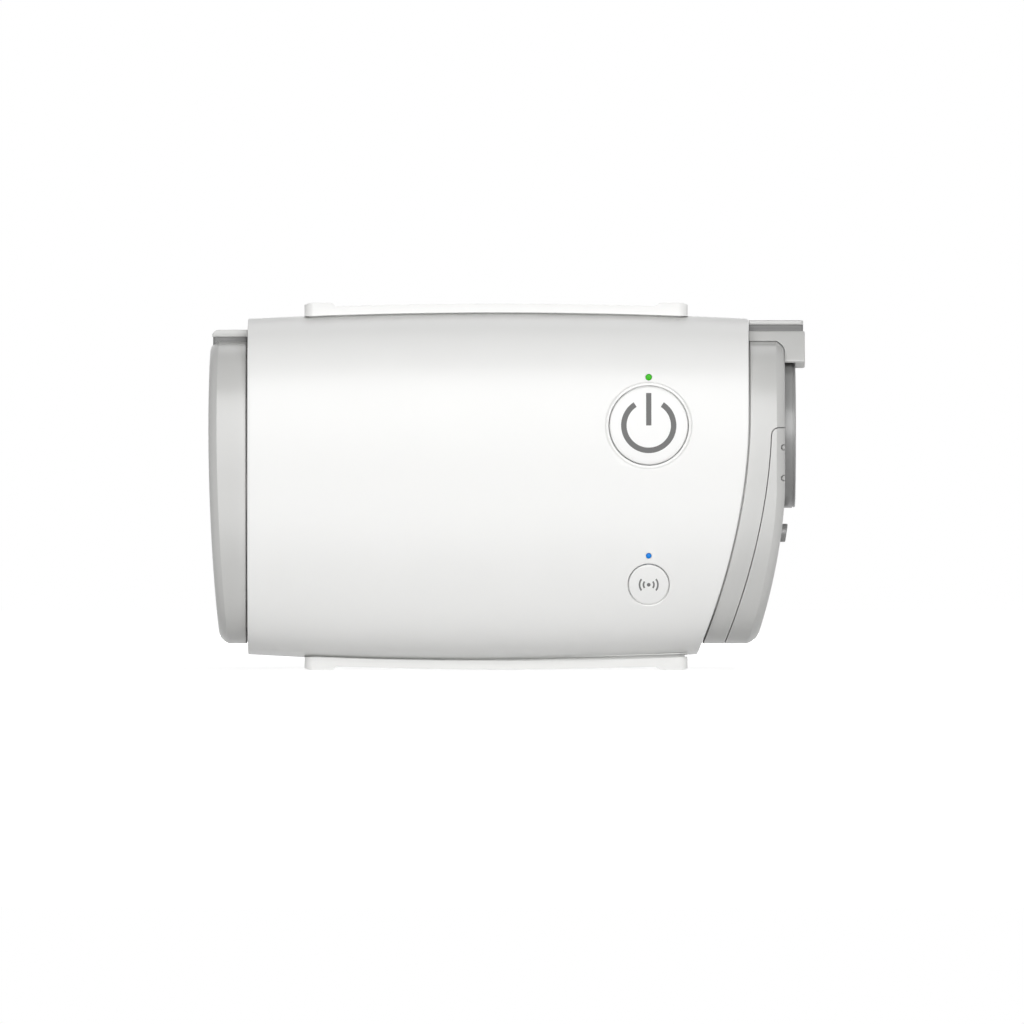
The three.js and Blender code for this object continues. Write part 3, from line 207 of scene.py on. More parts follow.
def cut(bm, cutter, operation="DIFFERENCE"):
    """Cuts one bmesh with another by an exact Boolean, and frees both."""
    kept = linked("kept", mesh_of("kept", bm))
    tool = linked("cutter", mesh_of("cutter", cutter))
    boolean = kept.modifiers.new("cut", "BOOLEAN")
    boolean.operation = operation
    boolean.object = tool
    boolean.solver = "EXACT"
    graph = bpy.context.evaluated_depsgraph_get()
    result = bpy.data.meshes.new_from_object(kept.evaluated_get(graph))
    whole = bmesh.new()
    whole.from_mesh(result)
    bmesh.ops.remove_doubles(whole, verts=whole.verts, dist=SAME_SPOT)
    gaps = [edge for edge in whole.edges if edge.is_boundary]
    if gaps:
        bmesh.ops.holes_fill(whole, edges=gaps)
    for holder in (kept, tool):
        mesh = holder.data
        bpy.data.objects.remove(holder)
        bpy.data.meshes.remove(mesh)
    bpy.data.meshes.remove(result)
    return whole


print("cuts are exact and applied at once")

# %% [markdown]
# Every finish is a small tree of nodes on the piece's own coordinates: a fine grain that the mould
# leaves, as bump, and a broad, weak cloud that varies colour and gloss, as no moulding is perfectly
# even. Colours are written as the light of the room shows them, one finish for each plastic.

# %% Finishes
NOISE_LOW, NOISE_HIGH = 0.3, 0.7
CLOUD_SIZE = 18 * MM
GLOSS_SWING = 0.06


def feed(tree, made, values=(), links=()):
    """Sets inputs of a node to values, and joins others to outputs."""
    for name, value in dict(values).items():
        made.inputs[name].default_value = value
    for name, output in dict(links).items():
        tree.links.new(output, made.inputs[name])
    return made


def node(tree, kind, values=(), links=(), **settings):
    """A new node, with its settings and what feeds its inputs."""
    made = tree.nodes.new("ShaderNode" + kind)
    for name, value in settings.items():
        setattr(made, name, value)
    return feed(tree, made, values, links)


def tree_of(name):
    material = bpy.data.materials.new(name)
    material.use_nodes = True
    tree = material.node_tree
    return material, tree, tree.nodes["Principled BSDF"], node(tree, "TexCoord").outputs["Object"]


def noise(tree, coordinates, size, detail=2.0, roughness=0.5):
    """A noise whose blotches are about size metres across."""
    values = {"Scale": 1 / size, "Detail": detail, "Roughness": roughness}
    return node(tree, "TexNoise", values, {"Vector": coordinates}).outputs["Fac"]


def spread(tree, value, low, high):
    """Stretches the values that a noise mostly has to a range of its own."""
    values = {"From Min": NOISE_LOW, "From Max": NOISE_HIGH, "To Min": low, "To Max": high}
    return node(tree, "MapRange", values, {"Value": value}).outputs["Result"]


def tinted(tree, shader, factor, first, second):
    values = {"A": (*first, 1), "B": (*second, 1)}
    mix = node(tree, "Mix", values, {"Factor": factor}, data_type="RGBA")
    feed(tree, shader, links={"Base Color": mix.outputs["Result"]})


def bumped(tree, shader, height, depth):
    bump = node(tree, "Bump", {"Distance": depth, "Strength": 1.0}, {"Height": height})
    feed(tree, shader, links={"Normal": bump.outputs["Normal"]})


def plastic(name, colour, roughness, grain=0.35 * MM, depth=0.004 * MM, cloud=0.012, metallic=0.0,
            specular=0.5):
    """Moulded plastic or plain metal: fine grain in relief, and a weak cloud in tone and gloss."""
    material, tree, shader, coordinates = tree_of(name)
    broad = noise(tree, coordinates, CLOUD_SIZE, detail=1)
    darker = [channel * (1 - cloud) for channel in colour]
    tinted(tree, shader, spread(tree, broad, 0, 1), darker, colour)
    gloss = spread(tree, broad, roughness * (1 - GLOSS_SWING), roughness * (1 + GLOSS_SWING))
    bumped(tree, shader, noise(tree, coordinates, grain), depth)
    feed(tree, shader, {"Metallic": metallic, "Specular IOR Level": specular}, {"Roughness": gloss})
    return material


plastics = {
    "shell_white": ((0.91, 0.91, 0.897), 0.32, dict(depth=0.002 * MM, cloud=0.006)),
    "button_white": ((0.92, 0.92, 0.91), 0.3, dict(depth=0.002 * MM, cloud=0.006)),
    "satin_grey": ((0.585, 0.585, 0.572), 0.3, dict(depth=0.006 * MM, cloud=0.02, specular=0.6)),
    "ring_grey": ((0.27, 0.27, 0.267), 0.3, dict(cloud=0.03, specular=0.7)),
    "ink_grey": ((0.2, 0.2, 0.198), 0.6, dict(depth=0.002 * MM, cloud=0.03, specular=0.2)),
    # painted shade: this dark grey on the ridge's foot and the hood's neck stands for the shade in their
    # recesses
    "painted_groove_shade": ((0.24, 0.24, 0.238), 0.5, dict(cloud=0.03, specular=0.3)),
    "chassis_grey": ((0.3, 0.31, 0.32), 0.55, dict(depth=0.01 * MM, cloud=0.05)),
    "inner_black": ((0.03, 0.032, 0.035), 0.5, dict(depth=0.01 * MM, cloud=0.1)),
    "impeller_white": ((0.85, 0.86, 0.86), 0.45, dict(cloud=0.02)),
    "silicone": ((0.45, 0.48, 0.5), 0.62, dict(grain=0.6 * MM, depth=0.006 * MM, cloud=0.04)),
    "steel": ((0.55, 0.56, 0.57), 0.3, dict(grain=0.2 * MM, metallic=1.0, cloud=0.05)),
    "magnet_dark": ((0.1, 0.1, 0.105), 0.4, dict(metallic=0.6, cloud=0.08)),
    "contact_gold": ((0.8, 0.6, 0.22), 0.25, dict(metallic=1.0, cloud=0.05)),
    "lead_black": ((0.02, 0.02, 0.022), 0.55, dict(cloud=0.1)),
}
materials = {}
for name, (colour, roughness, more) in plastics.items():
    materials[name] = plastic(name, colour, roughness, **more)
print("plastics and metals:", len(materials))

# %% [markdown]
# A few finishes need more than grain. Felt is a tangle of short fibres, foam is full of cells, the
# stator shows wound wire over its laminated core, the board has traces under its green mask, and
# the two lights glow a little through a clear tinted rod.

# %% Special finishes
fibre, haze, pore, wire_pitch, trace_pitch = 0.5 * MM, 0.4 * MM, 0.9 * MM, 0.35 * MM, 1.6 * MM
felt_white, foam_black = (0.82, 0.83, 0.81), (0.07, 0.075, 0.085)
board_mask, board_trace = (0.015, 0.15, 0.07), (0.05, 0.25, 0.12)
wire_copper, wire_gap = (0.6, 0.3, 0.14), (0.12, 0.05, 0.02)
lens_look = {"Roughness": 0.4, "Specular IOR Level": 0.2, "Emission Strength": 0.35}


def patterned(name, pattern, first, second, depth, look, stretched=False):
    """A finish whose pattern drives both its tone and its relief."""
    materials[name], tree, shader, coordinates = tree_of(name)
    height = pattern(tree, coordinates)
    tinted(tree, shader, spread(tree, height, 0, 1) if stretched else height, first, second)
    bumped(tree, shader, height, depth)
    feed(tree, shader, look)


def shaded(colour, share):
    return [channel * share for channel in colour]


def cells(size, **settings):
    """A pattern of cells about size metres across."""
    return lambda tree, places: node(tree, "TexVoronoi", {"Scale": 1 / size}, {"Vector": places},
                                     **settings).outputs["Distance"]


def wire(tree, places):
    return node(tree, "TexWave", {"Scale": 1 / wire_pitch / math.tau}, {"Vector": places},
                bands_direction="Y").outputs["Fac"]


patterned("filter_felt", lambda tree, places: noise(tree, places, fibre, 8, 0.75),
          shaded(felt_white, 0.86), felt_white, fibre / 2, {"Roughness": 0.95, "Sheen Weight": 0.4},
          stretched=True)
patterned("foam", cells(pore), shaded(foam_black, 0.25), foam_black, pore / 2, {"Roughness": 0.95})
patterned("copper", wire, wire_gap, wire_copper, wire_pitch / 2, {"Roughness": 0.35, "Metallic": 1.0})
patterned("board_green", cells(trace_pitch, distance="MANHATTAN", feature="F2"), board_trace, board_mask,
          0.02 * MM, {"Roughness": 0.3}, stretched=True)
for name, colour in (("lens_green", (0.045, 0.42, 0.012)), ("lens_blue", (0.003, 0.18, 0.6))):
    patterned(name, lambda tree, places: noise(tree, places, haze), shaded(colour, 0.8), colour,
              0.002 * MM, {**lens_look, "Emission Color": (*colour, 1)})

for subpart in frame["record"]["subparts"]:
    solid = frame["nodes"][subpart["node"]]
    solid.data.materials.clear()
    solid.data.materials.append(materials[subpart["material_slot"]])
print("finishes:", len(materials))

# %% [markdown]
# A finished piece is one object: smooth faces with creases where the form really turns, its finish,
# the body that it rides on, and the solid that it stands for.

# %% Finished pieces
def piece(name, bm, slot, body, stands_for=(), crease=32, finish=None):
    open_edges = sum(not edge.is_manifold for edge in bm.edges)
    mesh = mesh_of(name, bm)
    for polygon in mesh.polygons:
        polygon.use_smooth = True
    mesh.set_sharp_from_angle(angle=math.radians(crease))
    mesh.materials.append(materials[finish or slot])
    made = linked(name, mesh)
    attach(made, body)
    if stands_for:
        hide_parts(*stands_for)
    print(name, "faces:", len(mesh.polygons), "open edges:", open_edges)


# %% [markdown]
# The sleeve is a soft rounded tube: every section is a superellipse, a shape between an oval and a
# rectangle, a little fuller in the middle of the machine than at its ends. The right edge sweeps
# inwards towards the bottom, so each section is pushed along by its height.

# %% Form of the sleeve
sleeve_low, sleeve_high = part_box("sleeve_shell")
mid_z = (sleeve_low.z + sleeve_high.z) / 2
mid_x = (sleeve_low.x + sleeve_high.x) / 2
crown_height = (sleeve_high.z - sleeve_low.z) / 2
crown_depth = (sleeve_high.y - sleeve_low.y) / 2
half_run = (sleeve_high.x - sleeve_low.x) / 2
section_power = 3.2
arch_drop = 1.5 * MM
bow_drop = 0.8 * MM
sweep_start = 16 * MM
sweep_depth = 12.3 * MM
sweep_power = 1.9
wall = 1.8 * MM


def oval(turn, half_depth, half_height, centre_z, power=section_power):
    across = math.cos(math.tau * turn)
    up = math.sin(math.tau * turn)
    radius = (abs(across / half_depth) ** power + abs(up / half_height) ** power) ** (-1 / power)
    return radius * across, centre_z + radius * up


def half_height_at(x):
    return crown_height - arch_drop * ((x - mid_x) / half_run) ** 2


def half_depth_at(x):
    return crown_depth - bow_drop * ((x - mid_x) / half_run) ** 2


def sleeve_edge(z):
    below = max(0, mid_z + sweep_start - z) / (sweep_start + crown_height)
    return sleeve_high.x - sweep_depth * below ** sweep_power


def station_of(x, z):
    """The section that a point of the swept sleeve belongs to."""
    return sleeve_low.x + (x - sleeve_low.x) * 2 * half_run / (sleeve_edge(z) - sleeve_low.x)


def face_y(x, z, inset=0.0):
    """Where the button face lies at a place, or a surface that is inset under it."""
    station = station_of(x, z)
    high = min(1, abs(z - mid_z) / (half_height_at(station) - inset))
    return -(half_depth_at(station) - inset) * (1 - high ** section_power) ** (1 / section_power)


print("sleeve:", round(2 * half_run / MM, 1), "x", round(2 * crown_depth / MM, 1), "x",
      round(2 * crown_height / MM, 1), "mm")

# %% [markdown]
# The buttons are holes in a curved face. Cutting them would leave ragged faces round the rim, so
# the holes are grown instead: a block of faces is left out of the grid, a circle is laid on the
# surface, and the bridge operator joins the two. Round the power button lies a shallow dish.

# %% Holes in the face
power_low, power_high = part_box("power_button")
wireless_low, wireless_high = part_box("wireless_button")
button_x = (power_low.x + power_high.x) / 2
power_z = (power_low.z + power_high.z) / 2
wireless_z = (wireless_low.z + wireless_high.z) / 2
flange = 1.0 * MM
button_gap = 0.2 * MM
power_radius = (power_high.z - power_low.z) / 2 - flange
wireless_radius = (wireless_high.z - wireless_low.z) / 2 - flange
dish_radius = 10 * MM
dish_depth = 0.35 * MM
cell = 1.15 * MM
block_margin = 1.4 * cell
block_reach = 4 * cell
bridge_rings = 4


def window_of(z, radius, rows, x_of_row):
    """The block of the grid that a hole needs: its turns and its rows."""
    margin = radius + block_margin
    turns = []
    for height in (z - margin, z + margin):
        angle = math.pi - math.atan2(height - mid_z, -face_y(button_x, height))
        turns.append(angle / math.tau)
    left, right = (station_of(button_x + side * margin, z) for side in (-1, 1))
    inside = [row for row in range(rows) if left < x_of_row(row) < right]
    return min(turns), max(turns), min(inside), max(inside)


def circle_on_face(bm, z, radius, count, depth, inset):
    turn = Matrix.Translation((button_x, 0, z)) @ Matrix.Rotation(math.pi / 2, 4, "X")
    made = bmesh.ops.create_circle(bm, segments=count, radius=radius, matrix=turn)["verts"]
    for vert in made:
        vert.co.y = face_y(vert.co.x, vert.co.z, inset) + depth
    return list({edge for vert in made for edge in vert.link_edges})


def bridge_on_face(bm, outer, inner, inset):
    """Faces between the block's edge and the circle, in rings that follow the surface."""
    ends = {vert for edge in inner for vert in edge.verts}
    faces = bmesh.ops.bridge_loops(bm, edges=outer + inner)["faces"]
    spokes = {edge for face in faces for edge in face.edges
              if (edge.verts[0] in ends) != (edge.verts[1] in ends)}
    split = bmesh.ops.subdivide_edges(bm, edges=list(spokes), cuts=bridge_rings, use_grid_fill=True)
    for item in split["geom_inner"]:
        if isinstance(item, bmesh.types.BMVert):
            item.co.y = face_y(item.co.x, item.co.z, inset)


def pierce(bm, z, steps, inset):
    """Opens a block of missing faces to a circle; steps are pairs of radius and depth."""
    reach = steps[0][0] + block_reach

    def at_block(vert):
        near = abs(vert.co.x - button_x) < reach and abs(vert.co.z - z) < reach
        return near and abs(vert.co.y - face_y(vert.co.x, vert.co.z, inset)) < wall / 4

    block = [edge for edge in bm.edges if edge.is_boundary and all(map(at_block, edge.verts))]
    loops = [circle_on_face(bm, z, radius, len(block), depth, inset) for radius, depth in steps]
    bridge_on_face(bm, block, loops[0], inset)
    for wide, narrow in zip(loops, loops[1:]):
        bmesh.ops.bridge_loops(bm, edges=wide + narrow)
    return loops[-1]


print("holes of", round(2 * power_radius / MM, 1), "and", round(2 * wireless_radius / MM, 1), "mm")

# %% [markdown]
# The sleeve's skin runs from one end to the other, round the lip and back along its inner wall, so
# the shell is closed and has its real wall. The lips are small quarter rounds.

# %% Sleeve
lip = 0.2 * MM
body_rows = 96
sleeve_columns = 256
rim_round = 0.12 * MM
light_play = 0.08 * MM


def sleeve_stations():
    """Pairs of place along X and inset, out along the skin and back along the inner wall."""
    ends = [(sleeve_low.x + along, inset) for along, inset in fillet(lip, 4)]
    places = evenly(sleeve_low.x + lip, sleeve_high.x - lip, body_rows)
    far = [(2 * mid_x - x, inset) for x, inset in reversed(ends)]
    skin = ends + [(x, 0.0) for x in places[1:-1]] + far
    return skin + [(x, wall) for x, _ in reversed(skin)] + skin[:1]


stations = sleeve_stations()
sleeve_rows = len(stations) - 1


def place_sleeve(turn, row):
    x, inset = stations[row]
    y, z = oval(turn, half_depth_at(x) - inset, half_height_at(x) - inset, mid_z)
    swept = sleeve_low.x + (x - sleeve_low.x) * (sleeve_edge(z) - sleeve_low.x) / (2 * half_run)
    return Vector((swept, y, z))


skin_rows = (sleeve_rows - 1) // 2
windows = []
for z, radius in ((power_z, dish_radius), (wireless_z, wireless_radius)):
    low_turn, high_turn, first, last = window_of(z, radius, skin_rows, lambda row: stations[row][0])
    windows.append((low_turn, high_turn, first, last))
    windows.append((low_turn, high_turn, sleeve_rows - 1 - last, sleeve_rows - 1 - first))


def in_window(turn, row):
    return any(a < turn < b and c < row < d for a, b, c, d in windows)


def rim(radius, depth):
    """A hole's rounded rim: pairs of radius and depth."""
    return [(radius + wide, depth + down) for down, wide in fillet(rim_round, 3)]


power_hole = power_radius + button_gap
wireless_hole = wireless_radius + button_gap
dish_curve = [(0.0, 0.0), (0.1 * MM, 0.06 * MM), (0.3 * MM, 0.29 * MM), (0.4 * MM, dish_depth)]
dish_edge = [(dish_radius - back, down) for back, down in dish_curve]
sleeve = sheet(sleeve_columns, sleeve_rows, place_sleeve, in_window)
for z, steps, radius in (
    (power_z, dish_edge + rim(power_hole, dish_depth), power_hole),
    (wireless_z, rim(wireless_hole, 0.0), wireless_hole),
):
    outside = pierce(sleeve, z, steps, 0.0)
    inside = pierce(sleeve, z, [(radius, 0.0)], wall)
    bmesh.ops.bridge_loops(sleeve, edges=outside + inside)
bmesh.ops.recalc_face_normals(sleeve, faces=sleeve.faces)
print("open edges left in the sleeve:", sum(edge.is_boundary for edge in sleeve.edges))

for name in ("power_light", "wireless_light"):
    low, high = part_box(name)
    radius = (high.x - low.x) / 2 + light_play
    near, far = low.y - wall, low.y + 2 * wall
    profile = [(0, near), (radius, near), (radius, far), (0, far)]
    sleeve = cut(sleeve, turned(profile, (low + high) / 2, columns=32, axis="Y"))
piece("sleeve", sleeve, "shell_white", "casing", ["sleeve_shell"])

# %% [markdown]
# A press leaves the button's cap level with the sleeve, so its face is a disc that follows the
# same curved surface. Row by row the disc goes out from its middle, over a soft rim, down the side
# to the flange that keeps it in the sleeve, and back along the stem that works the switch.

# %% Buttons
cap_wall = 2.0 * MM
cap_round = 0.35 * MM
stem_radius = 1.6 * MM
stem_rest = 0.2 * MM
flange_share = 0.42
face_shares = (0, 0.15, 0.3, 0.45, 0.6, 0.75, 0.88)


def button(z, radius, low, high):
    """The cap: rows of radius and place along Y, the first of them counted from the sleeve's face."""
    front = low.y + (high.y - low.y) * flange_share
    floor_y, end = low.y + 2 * cap_wall, high.y - stem_rest
    rows = [(radius * share, 0.0, True) for share in face_shares]
    rows += [(radius - inset, depth, True) for depth, inset in fillet(cap_round, 5)]
    rows += [(r, y, False) for r, y in (
        (radius, front), (radius + flange, front), (radius + flange, front + flange),
        (radius - cap_wall, front + flange), (radius - cap_wall, floor_y),
        (stem_radius, floor_y), (stem_radius, end), (0, end))]

    def place(turn, row):
        r, depth, on_face = rows[row]
        x = button_x + r * math.cos(math.tau * turn)
        up = z + r * math.sin(math.tau * turn)
        return Vector((x, face_y(x, up) + depth if on_face else depth, up))

    return sheet(96, len(rows) - 1, place)


for name, cap in (
    ("power_button", button(power_z, power_radius, power_low, power_high)),
    ("wireless_button", button(wireless_z, wireless_radius, wireless_low, wireless_high)),
):
    piece(name + "_cap", cap, "button_white", name + "_body", [name])

# %% [markdown]
# The marks on the buttons are printed, a few hundredths of a millimetre of grey ink. Each is a
# small grid laid on the button's face and extruded to a film. The upper one is the usual power
# sign, an open ring and a bar. The lower one is a dot with two pairs of arcs, for a radio link.

# %% Printed marks
ink_rise = 0.02 * MM
ink_depth = 0.05 * MM
power_ring = (5.05 * MM, 6.3 * MM)
power_bar = (0.6 * MM, 7.4 * MM)
ring_gap = 33
radio_dot = 0.42 * MM
radio_arcs = (1.0 * MM, 1.9 * MM)
radio_line = 0.38 * MM
half_arc = 38


def film(columns, rows, place):
    """A closed film of ink: place gives the X and Z of each point of a grid."""

    def on_face(turn, row):
        x, z = place(turn, row / rows)
        return Vector((x, face_y(x, z) - ink_rise, z))

    return thickened(sheet(columns, rows, on_face), (0, ink_depth, 0))


def arc_mark(z, inner, outer, start, end, rows):
    """A ring of ink from one angle to another, in degrees up from +X."""

    def place(turn, share):
        angle = math.radians(start + (end - start) * share)
        r = inner + (outer - inner) * turn
        return button_x + r * math.cos(angle), z + r * math.sin(angle)

    return film(4, rows, place)


def bar_mark(z, half_width, low, high):
    return film(4, 24, lambda turn, share: (button_x + half_width * (2 * turn - 1),
                                            z + low + (high - low) * share))


def together(parts):
    whole = bmesh.new()
    for part in parts:
        mesh = mesh_of("part", part)
        whole.from_mesh(mesh)
        bpy.data.meshes.remove(mesh)
    return whole


power_sign = together([
    arc_mark(power_z, *power_ring, 90 + ring_gap, 450 - ring_gap, rows=120),
    bar_mark(power_z, power_bar[0], 0.0, power_bar[1]),
])
piece("power_sign", power_sign, "ring_grey", "power_button_body", finish="ink_grey")

marks = [arc_mark(wireless_z, 0.0, radio_dot, 0, 360, rows=32)]
for inner in radio_arcs:
    for middle in (0, 180):
        marks.append(arc_mark(wireless_z, inner, inner + radio_line, middle - half_arc,
                              middle + half_arc, rows=24))
piece("radio_sign", together(marks), "ring_grey", "wireless_button_body", finish="ink_grey")

# %% [markdown]
# Each light is the polished end of a clear rod that leads back to a lamp on the board. Its face is
# slightly domed, so it catches a small highlight.

# %% Lights
dome_share = 0.25

for name, slot in (("power_light", "lens_green"), ("wireless_light", "lens_blue")):
    low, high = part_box(name)
    radius = (high.x - low.x) / 2
    middle = (low + high) / 2
    front = face_y(button_x, middle.z)
    dome = [(radius - inset, front + dome_share * down) for down, inset in fillet(radius, 6)]
    profile = dome + [(radius, high.y), (0, high.y)]
    piece(name + "_rod", turned(profile, middle, columns=32, axis="Y"), slot, "casing", [name])

# %% [markdown]
# The rails above and below are long pads that follow the arch of the sleeve, and rise to a level
# foot at both ends. The side view is drawn as an outline and extruded across, and a plan with round
# corners trims it, with sides that lean in a little towards the top, as a mould needs. The bevel
# operator softens what is left sharp. Underneath, a shallow groove runs round each rail, so that
# it meets the sleeve in a shaded line.

# %% Rails
rail_low, rail_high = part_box("top_rail")
rail_rise = 1.9 * MM
foot_length = 7.4 * MM
foot_slope = 1.2 * MM
foot_dip = 0.5 * MM
rail_corner = 2.2 * MM
rail_draft = 0.2
rail_edge = 0.45 * MM
rail_bed = wall * 0.6
rail_steps = 48
trim_depth = 3 * MM
foot_sink = 0.85 * MM
foot_groove = 0.75 * MM
foot_length_share = 0.985
foot_width_share = 0.74


def arch(start, run, rise):
    """Places along a run of the sleeve's crown, at a fixed height over it."""
    line = [start + along for along in evenly(0.0, run, rail_steps)]
    return [(x, mid_z + half_height_at(x) + rise) for x in line]


def under_rail(left, right, plan):
    """The shallow groove where a rail meets the sleeve: a band along the arch, less its core."""
    line = arch(left - wall, right - left + 2 * wall, -foot_sink)
    outline = line + [(x, z + foot_groove) for x, z in reversed(line)]
    band = slab([(x, rail_low.y - wall, z) for x, z in outline], (0, 2 * (rail_high.y + wall), 0))
    core = slab([(x * foot_length_share, y * foot_width_share, mid_z) for x, y in plan],
                (0, 0, crown_height + 4 * rail_rise))
    return cut(band, core)


def rail():
    left, right, top = rail_low.x, rail_high.x, rail_high.z
    inner = right - foot_length
    outline = [(right, top - foot_dip), (right - foot_slope, top), (inner + foot_slope, top)]
    outline += arch(inner, left + foot_length - inner, rail_rise)
    outline += [(left + foot_length - foot_slope, top), (left + foot_slope, top), (left, top - foot_dip)]
    outline += arch(left, right - left, -rail_bed)
    body = slab([(x, rail_low.y, z) for x, z in outline], (0, rail_high.y - rail_low.y, 0))
    plan = rounded(left, right, rail_low.y, rail_high.y, rail_corner)
    trim_low, trim_high = mid_z + crown_height - trim_depth, top + wall
    trim = slab([(x, y, trim_low) for x, y in plan], (0, 0, trim_high - trim_low))
    draft = 1 - rail_draft * (trim_high - trim_low) / rail_high.y
    for vert in trim.verts:
        if vert.co.z > trim_low + WELD:
            vert.co.y *= draft
    body = soften(cut(body, trim, "INTERSECT"), rail_edge, 4, sharper_than=50)
    return cut(body, under_rail(left, right, plan))


piece("top_rail_pad", rail(), "shell_white", "casing", ["top_rail"])
lower = rail()
mirror = Matrix.Translation((0, 0, 2 * mid_z)) @ Matrix.Scale(-1, 4, (0, 0, 1))
bmesh.ops.transform(lower, matrix=mirror, verts=lower.verts)
bmesh.ops.reverse_faces(lower, faces=lower.faces)
piece("bottom_rail_pad", lower, "shell_white", "casing", ["bottom_rail"])

# %% [markdown]
# Both grey ends are shallow cups with a rounded lip and a gently bowed face. One sheet makes such a
# cup: from the middle of its outer face, over the lip, along the wall to its mouth and back inside
# to the middle of the inner face. What differs is where the face ends and how the mouth is shaped.
# The lip is flatter than a quarter of a circle, so it takes more off the corner.

# %% Form of the ends
cover_low, cover_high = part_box("filter_cover")
cap_height = 34.7 * MM
cap_depth = cover_high.y
cap_z = cover_low.z + cap_height
cap_top = cap_z + cap_height
cap_lip = 1.9 * MM
cover_bow = 1.65 * MM
cover_bow_height = 14 * MM
bezel_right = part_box("outlet_bezel")[1].x
bezel_slope = 7.85 * MM
bezel_slope_power = 1.7
seam = 0.6 * MM
cover_gap = 0.3 * MM
lip_band = [(1, 0), (0.76, 0.09), (0.54, 0.25), (0.34, 0.45), (0.16, 0.7), (0, 1)]
wall_rows = 6


def cover_end(z):
    return cover_low.x + cover_bow * ((z - mid_z - cover_bow_height) / crown_height) ** 2


def bezel_end(z):
    return bezel_right - bezel_slope * (max(0, mid_z - z) / crown_height) ** bezel_slope_power


def cup(side, end_at, mouth, grow=0.0, hollow=True):
    """A cup whose face is at end_at(z); mouth lists pairs of inset and place along X."""
    inner_lip = cap_lip / 2
    first_x = mouth[0][1]

    def behind(back):
        """A surface that lies a fixed way behind the face."""
        return lambda z: end_at(z) - side * back

    lip_end = behind(cap_lip)
    rows = [(cap_lip, share, end_at) for share in (0, 0.12, 0.25, 0.37, 0.5, 0.62, 0.75, 0.87)]
    rows += [(cap_lip * inset, 1, behind(cap_lip * back)) for inset, back in lip_band]
    for i in range(1, wall_rows):
        rows.append((0, 1, lambda z, i=i: lip_end(z) + (first_x(z) - lip_end(z)) * i / wall_rows))
    rows += [(inset, 1, x_at) for inset, x_at in mouth]
    if hollow:
        rows += [(wall + inset, 1, behind(wall + back)) for inset, back in fillet(inner_lip, 3)]
        rows += [(wall + inner_lip, share, behind(wall)) for share in (0.6, 0.3, 0)]
    else:
        rows.append((0, 0, mouth[-1][1]))

    def place(turn, row):
        inset, share, x_at = rows[row]
        y, z = oval(turn, cap_depth + grow - inset, cap_height + grow - inset, 0)
        up = cap_z + z * share
        return Vector((x_at(up), y * share, up))

    return sheet(192, len(rows) - 1, place)


print("ends:", round(cap_lip / MM, 1), "mm of lip")

# %% [markdown]
# The filter cover is such a cup with a column of air slots through its face. Inside, a raised frame
# holds the filter pad, and two flat clips reach into the machine.

# %% Filter cover
cover_open = sleeve_low.x - cover_gap
soft_edge = 0.2 * MM
slot_count = 9
slot_pitch = 5.2 * MM
slot_half_length = 10.5 * MM
slot_half_width = 1.2 * MM
filter_low, filter_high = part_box("air_filter")
filter_corner = 4 * MM
fit = 0.3 * MM
pocket_wall = 1.2 * MM
clip_half = 4 * MM
clip_thickness = 1.4 * MM
clip_middle = cap_depth - wall - clip_thickness / 2


def on_end(outline, start_at, end):
    """An outline in Y and Z, thickened from a curved start along X to a level end."""
    bm = slab([(start_at(z), y, z) for y, z in outline], (1, 0, 0))
    for vert in bm.verts:
        if vert.co.x > 0.5:
            vert.co.x = end
    return bm


def box_of(x0, x1, y0, y1, z0, z1):
    return slab([(x0, y, z) for y, z in ((y0, z0), (y1, z0), (y1, z1), (y0, z1))], (x1 - x0, 0, 0))


def round_filter(grow, corner):
    """The outline of the filter, grown on all sides."""
    return rounded(filter_low.y - grow, filter_high.y + grow, filter_low.z - grow,
                   filter_high.z + grow, corner)


cover = cup(-1, cover_end, [
    (0, lambda z: cover_open - soft_edge),
    (soft_edge, lambda z: cover_open),
    (wall, lambda z: cover_open),
])
pocket_outer = round_filter(fit + pocket_wall, filter_corner + pocket_wall)
pocket_inner = round_filter(fit, filter_corner)
pocket = cut(on_end(pocket_outer, lambda z: cover_end(z) + wall / 2, filter_high.x),
             on_end(pocket_inner, cover_end, filter_high.x + wall))
cover = cut(cover, pocket, "UNION")
for side in (-1, 1):
    y0, y1 = (side * clip_middle + half for half in (-clip_thickness / 2, clip_thickness / 2))
    cover = cut(cover, box_of(cover_end(cap_z) + wall / 2, cover_high.x, y0, y1, cap_z - clip_half,
                              cap_z + clip_half), "UNION")
slots = []
for i in range(slot_count):
    z = cap_z + (i - (slot_count - 1) / 2) * slot_pitch
    outline = rounded(-slot_half_length, slot_half_length, z - slot_half_width, z + slot_half_width,
                      slot_half_width)
    slots.append(on_end(outline, lambda z: cover_low.x - wall, filter_low.x))
cover = cut(cover, together(slots))
piece("intake_cover", cover, "satin_grey", "cover_body", ["filter_cover"], crease=24)

# %% [markdown]
# The ridge along the top of the cover, where a finger pulls it off, is a bar on a narrower foot. The
# foot's dark grey is painted shade, so that a shaded line shows under the bar. The bar's end is
# rounded over, like the cover's lip.

# %% Cover ridge
ridge_half = 8 * MM
ridge_top = cover_high.z
ridge_height = 1.6 * MM
ridge_round = 1.5 * MM
ridge_edge = 0.7 * MM
ridge_rest = 0.2 * MM
ridge_left = cover_end(ridge_top) + ridge_rest
ridge_right = sleeve_low.x - cover_gap / 2
ridge_bottom = ridge_top - ridge_height
foot_inset = 0.4 * MM
foot_corner = 0.6 * MM

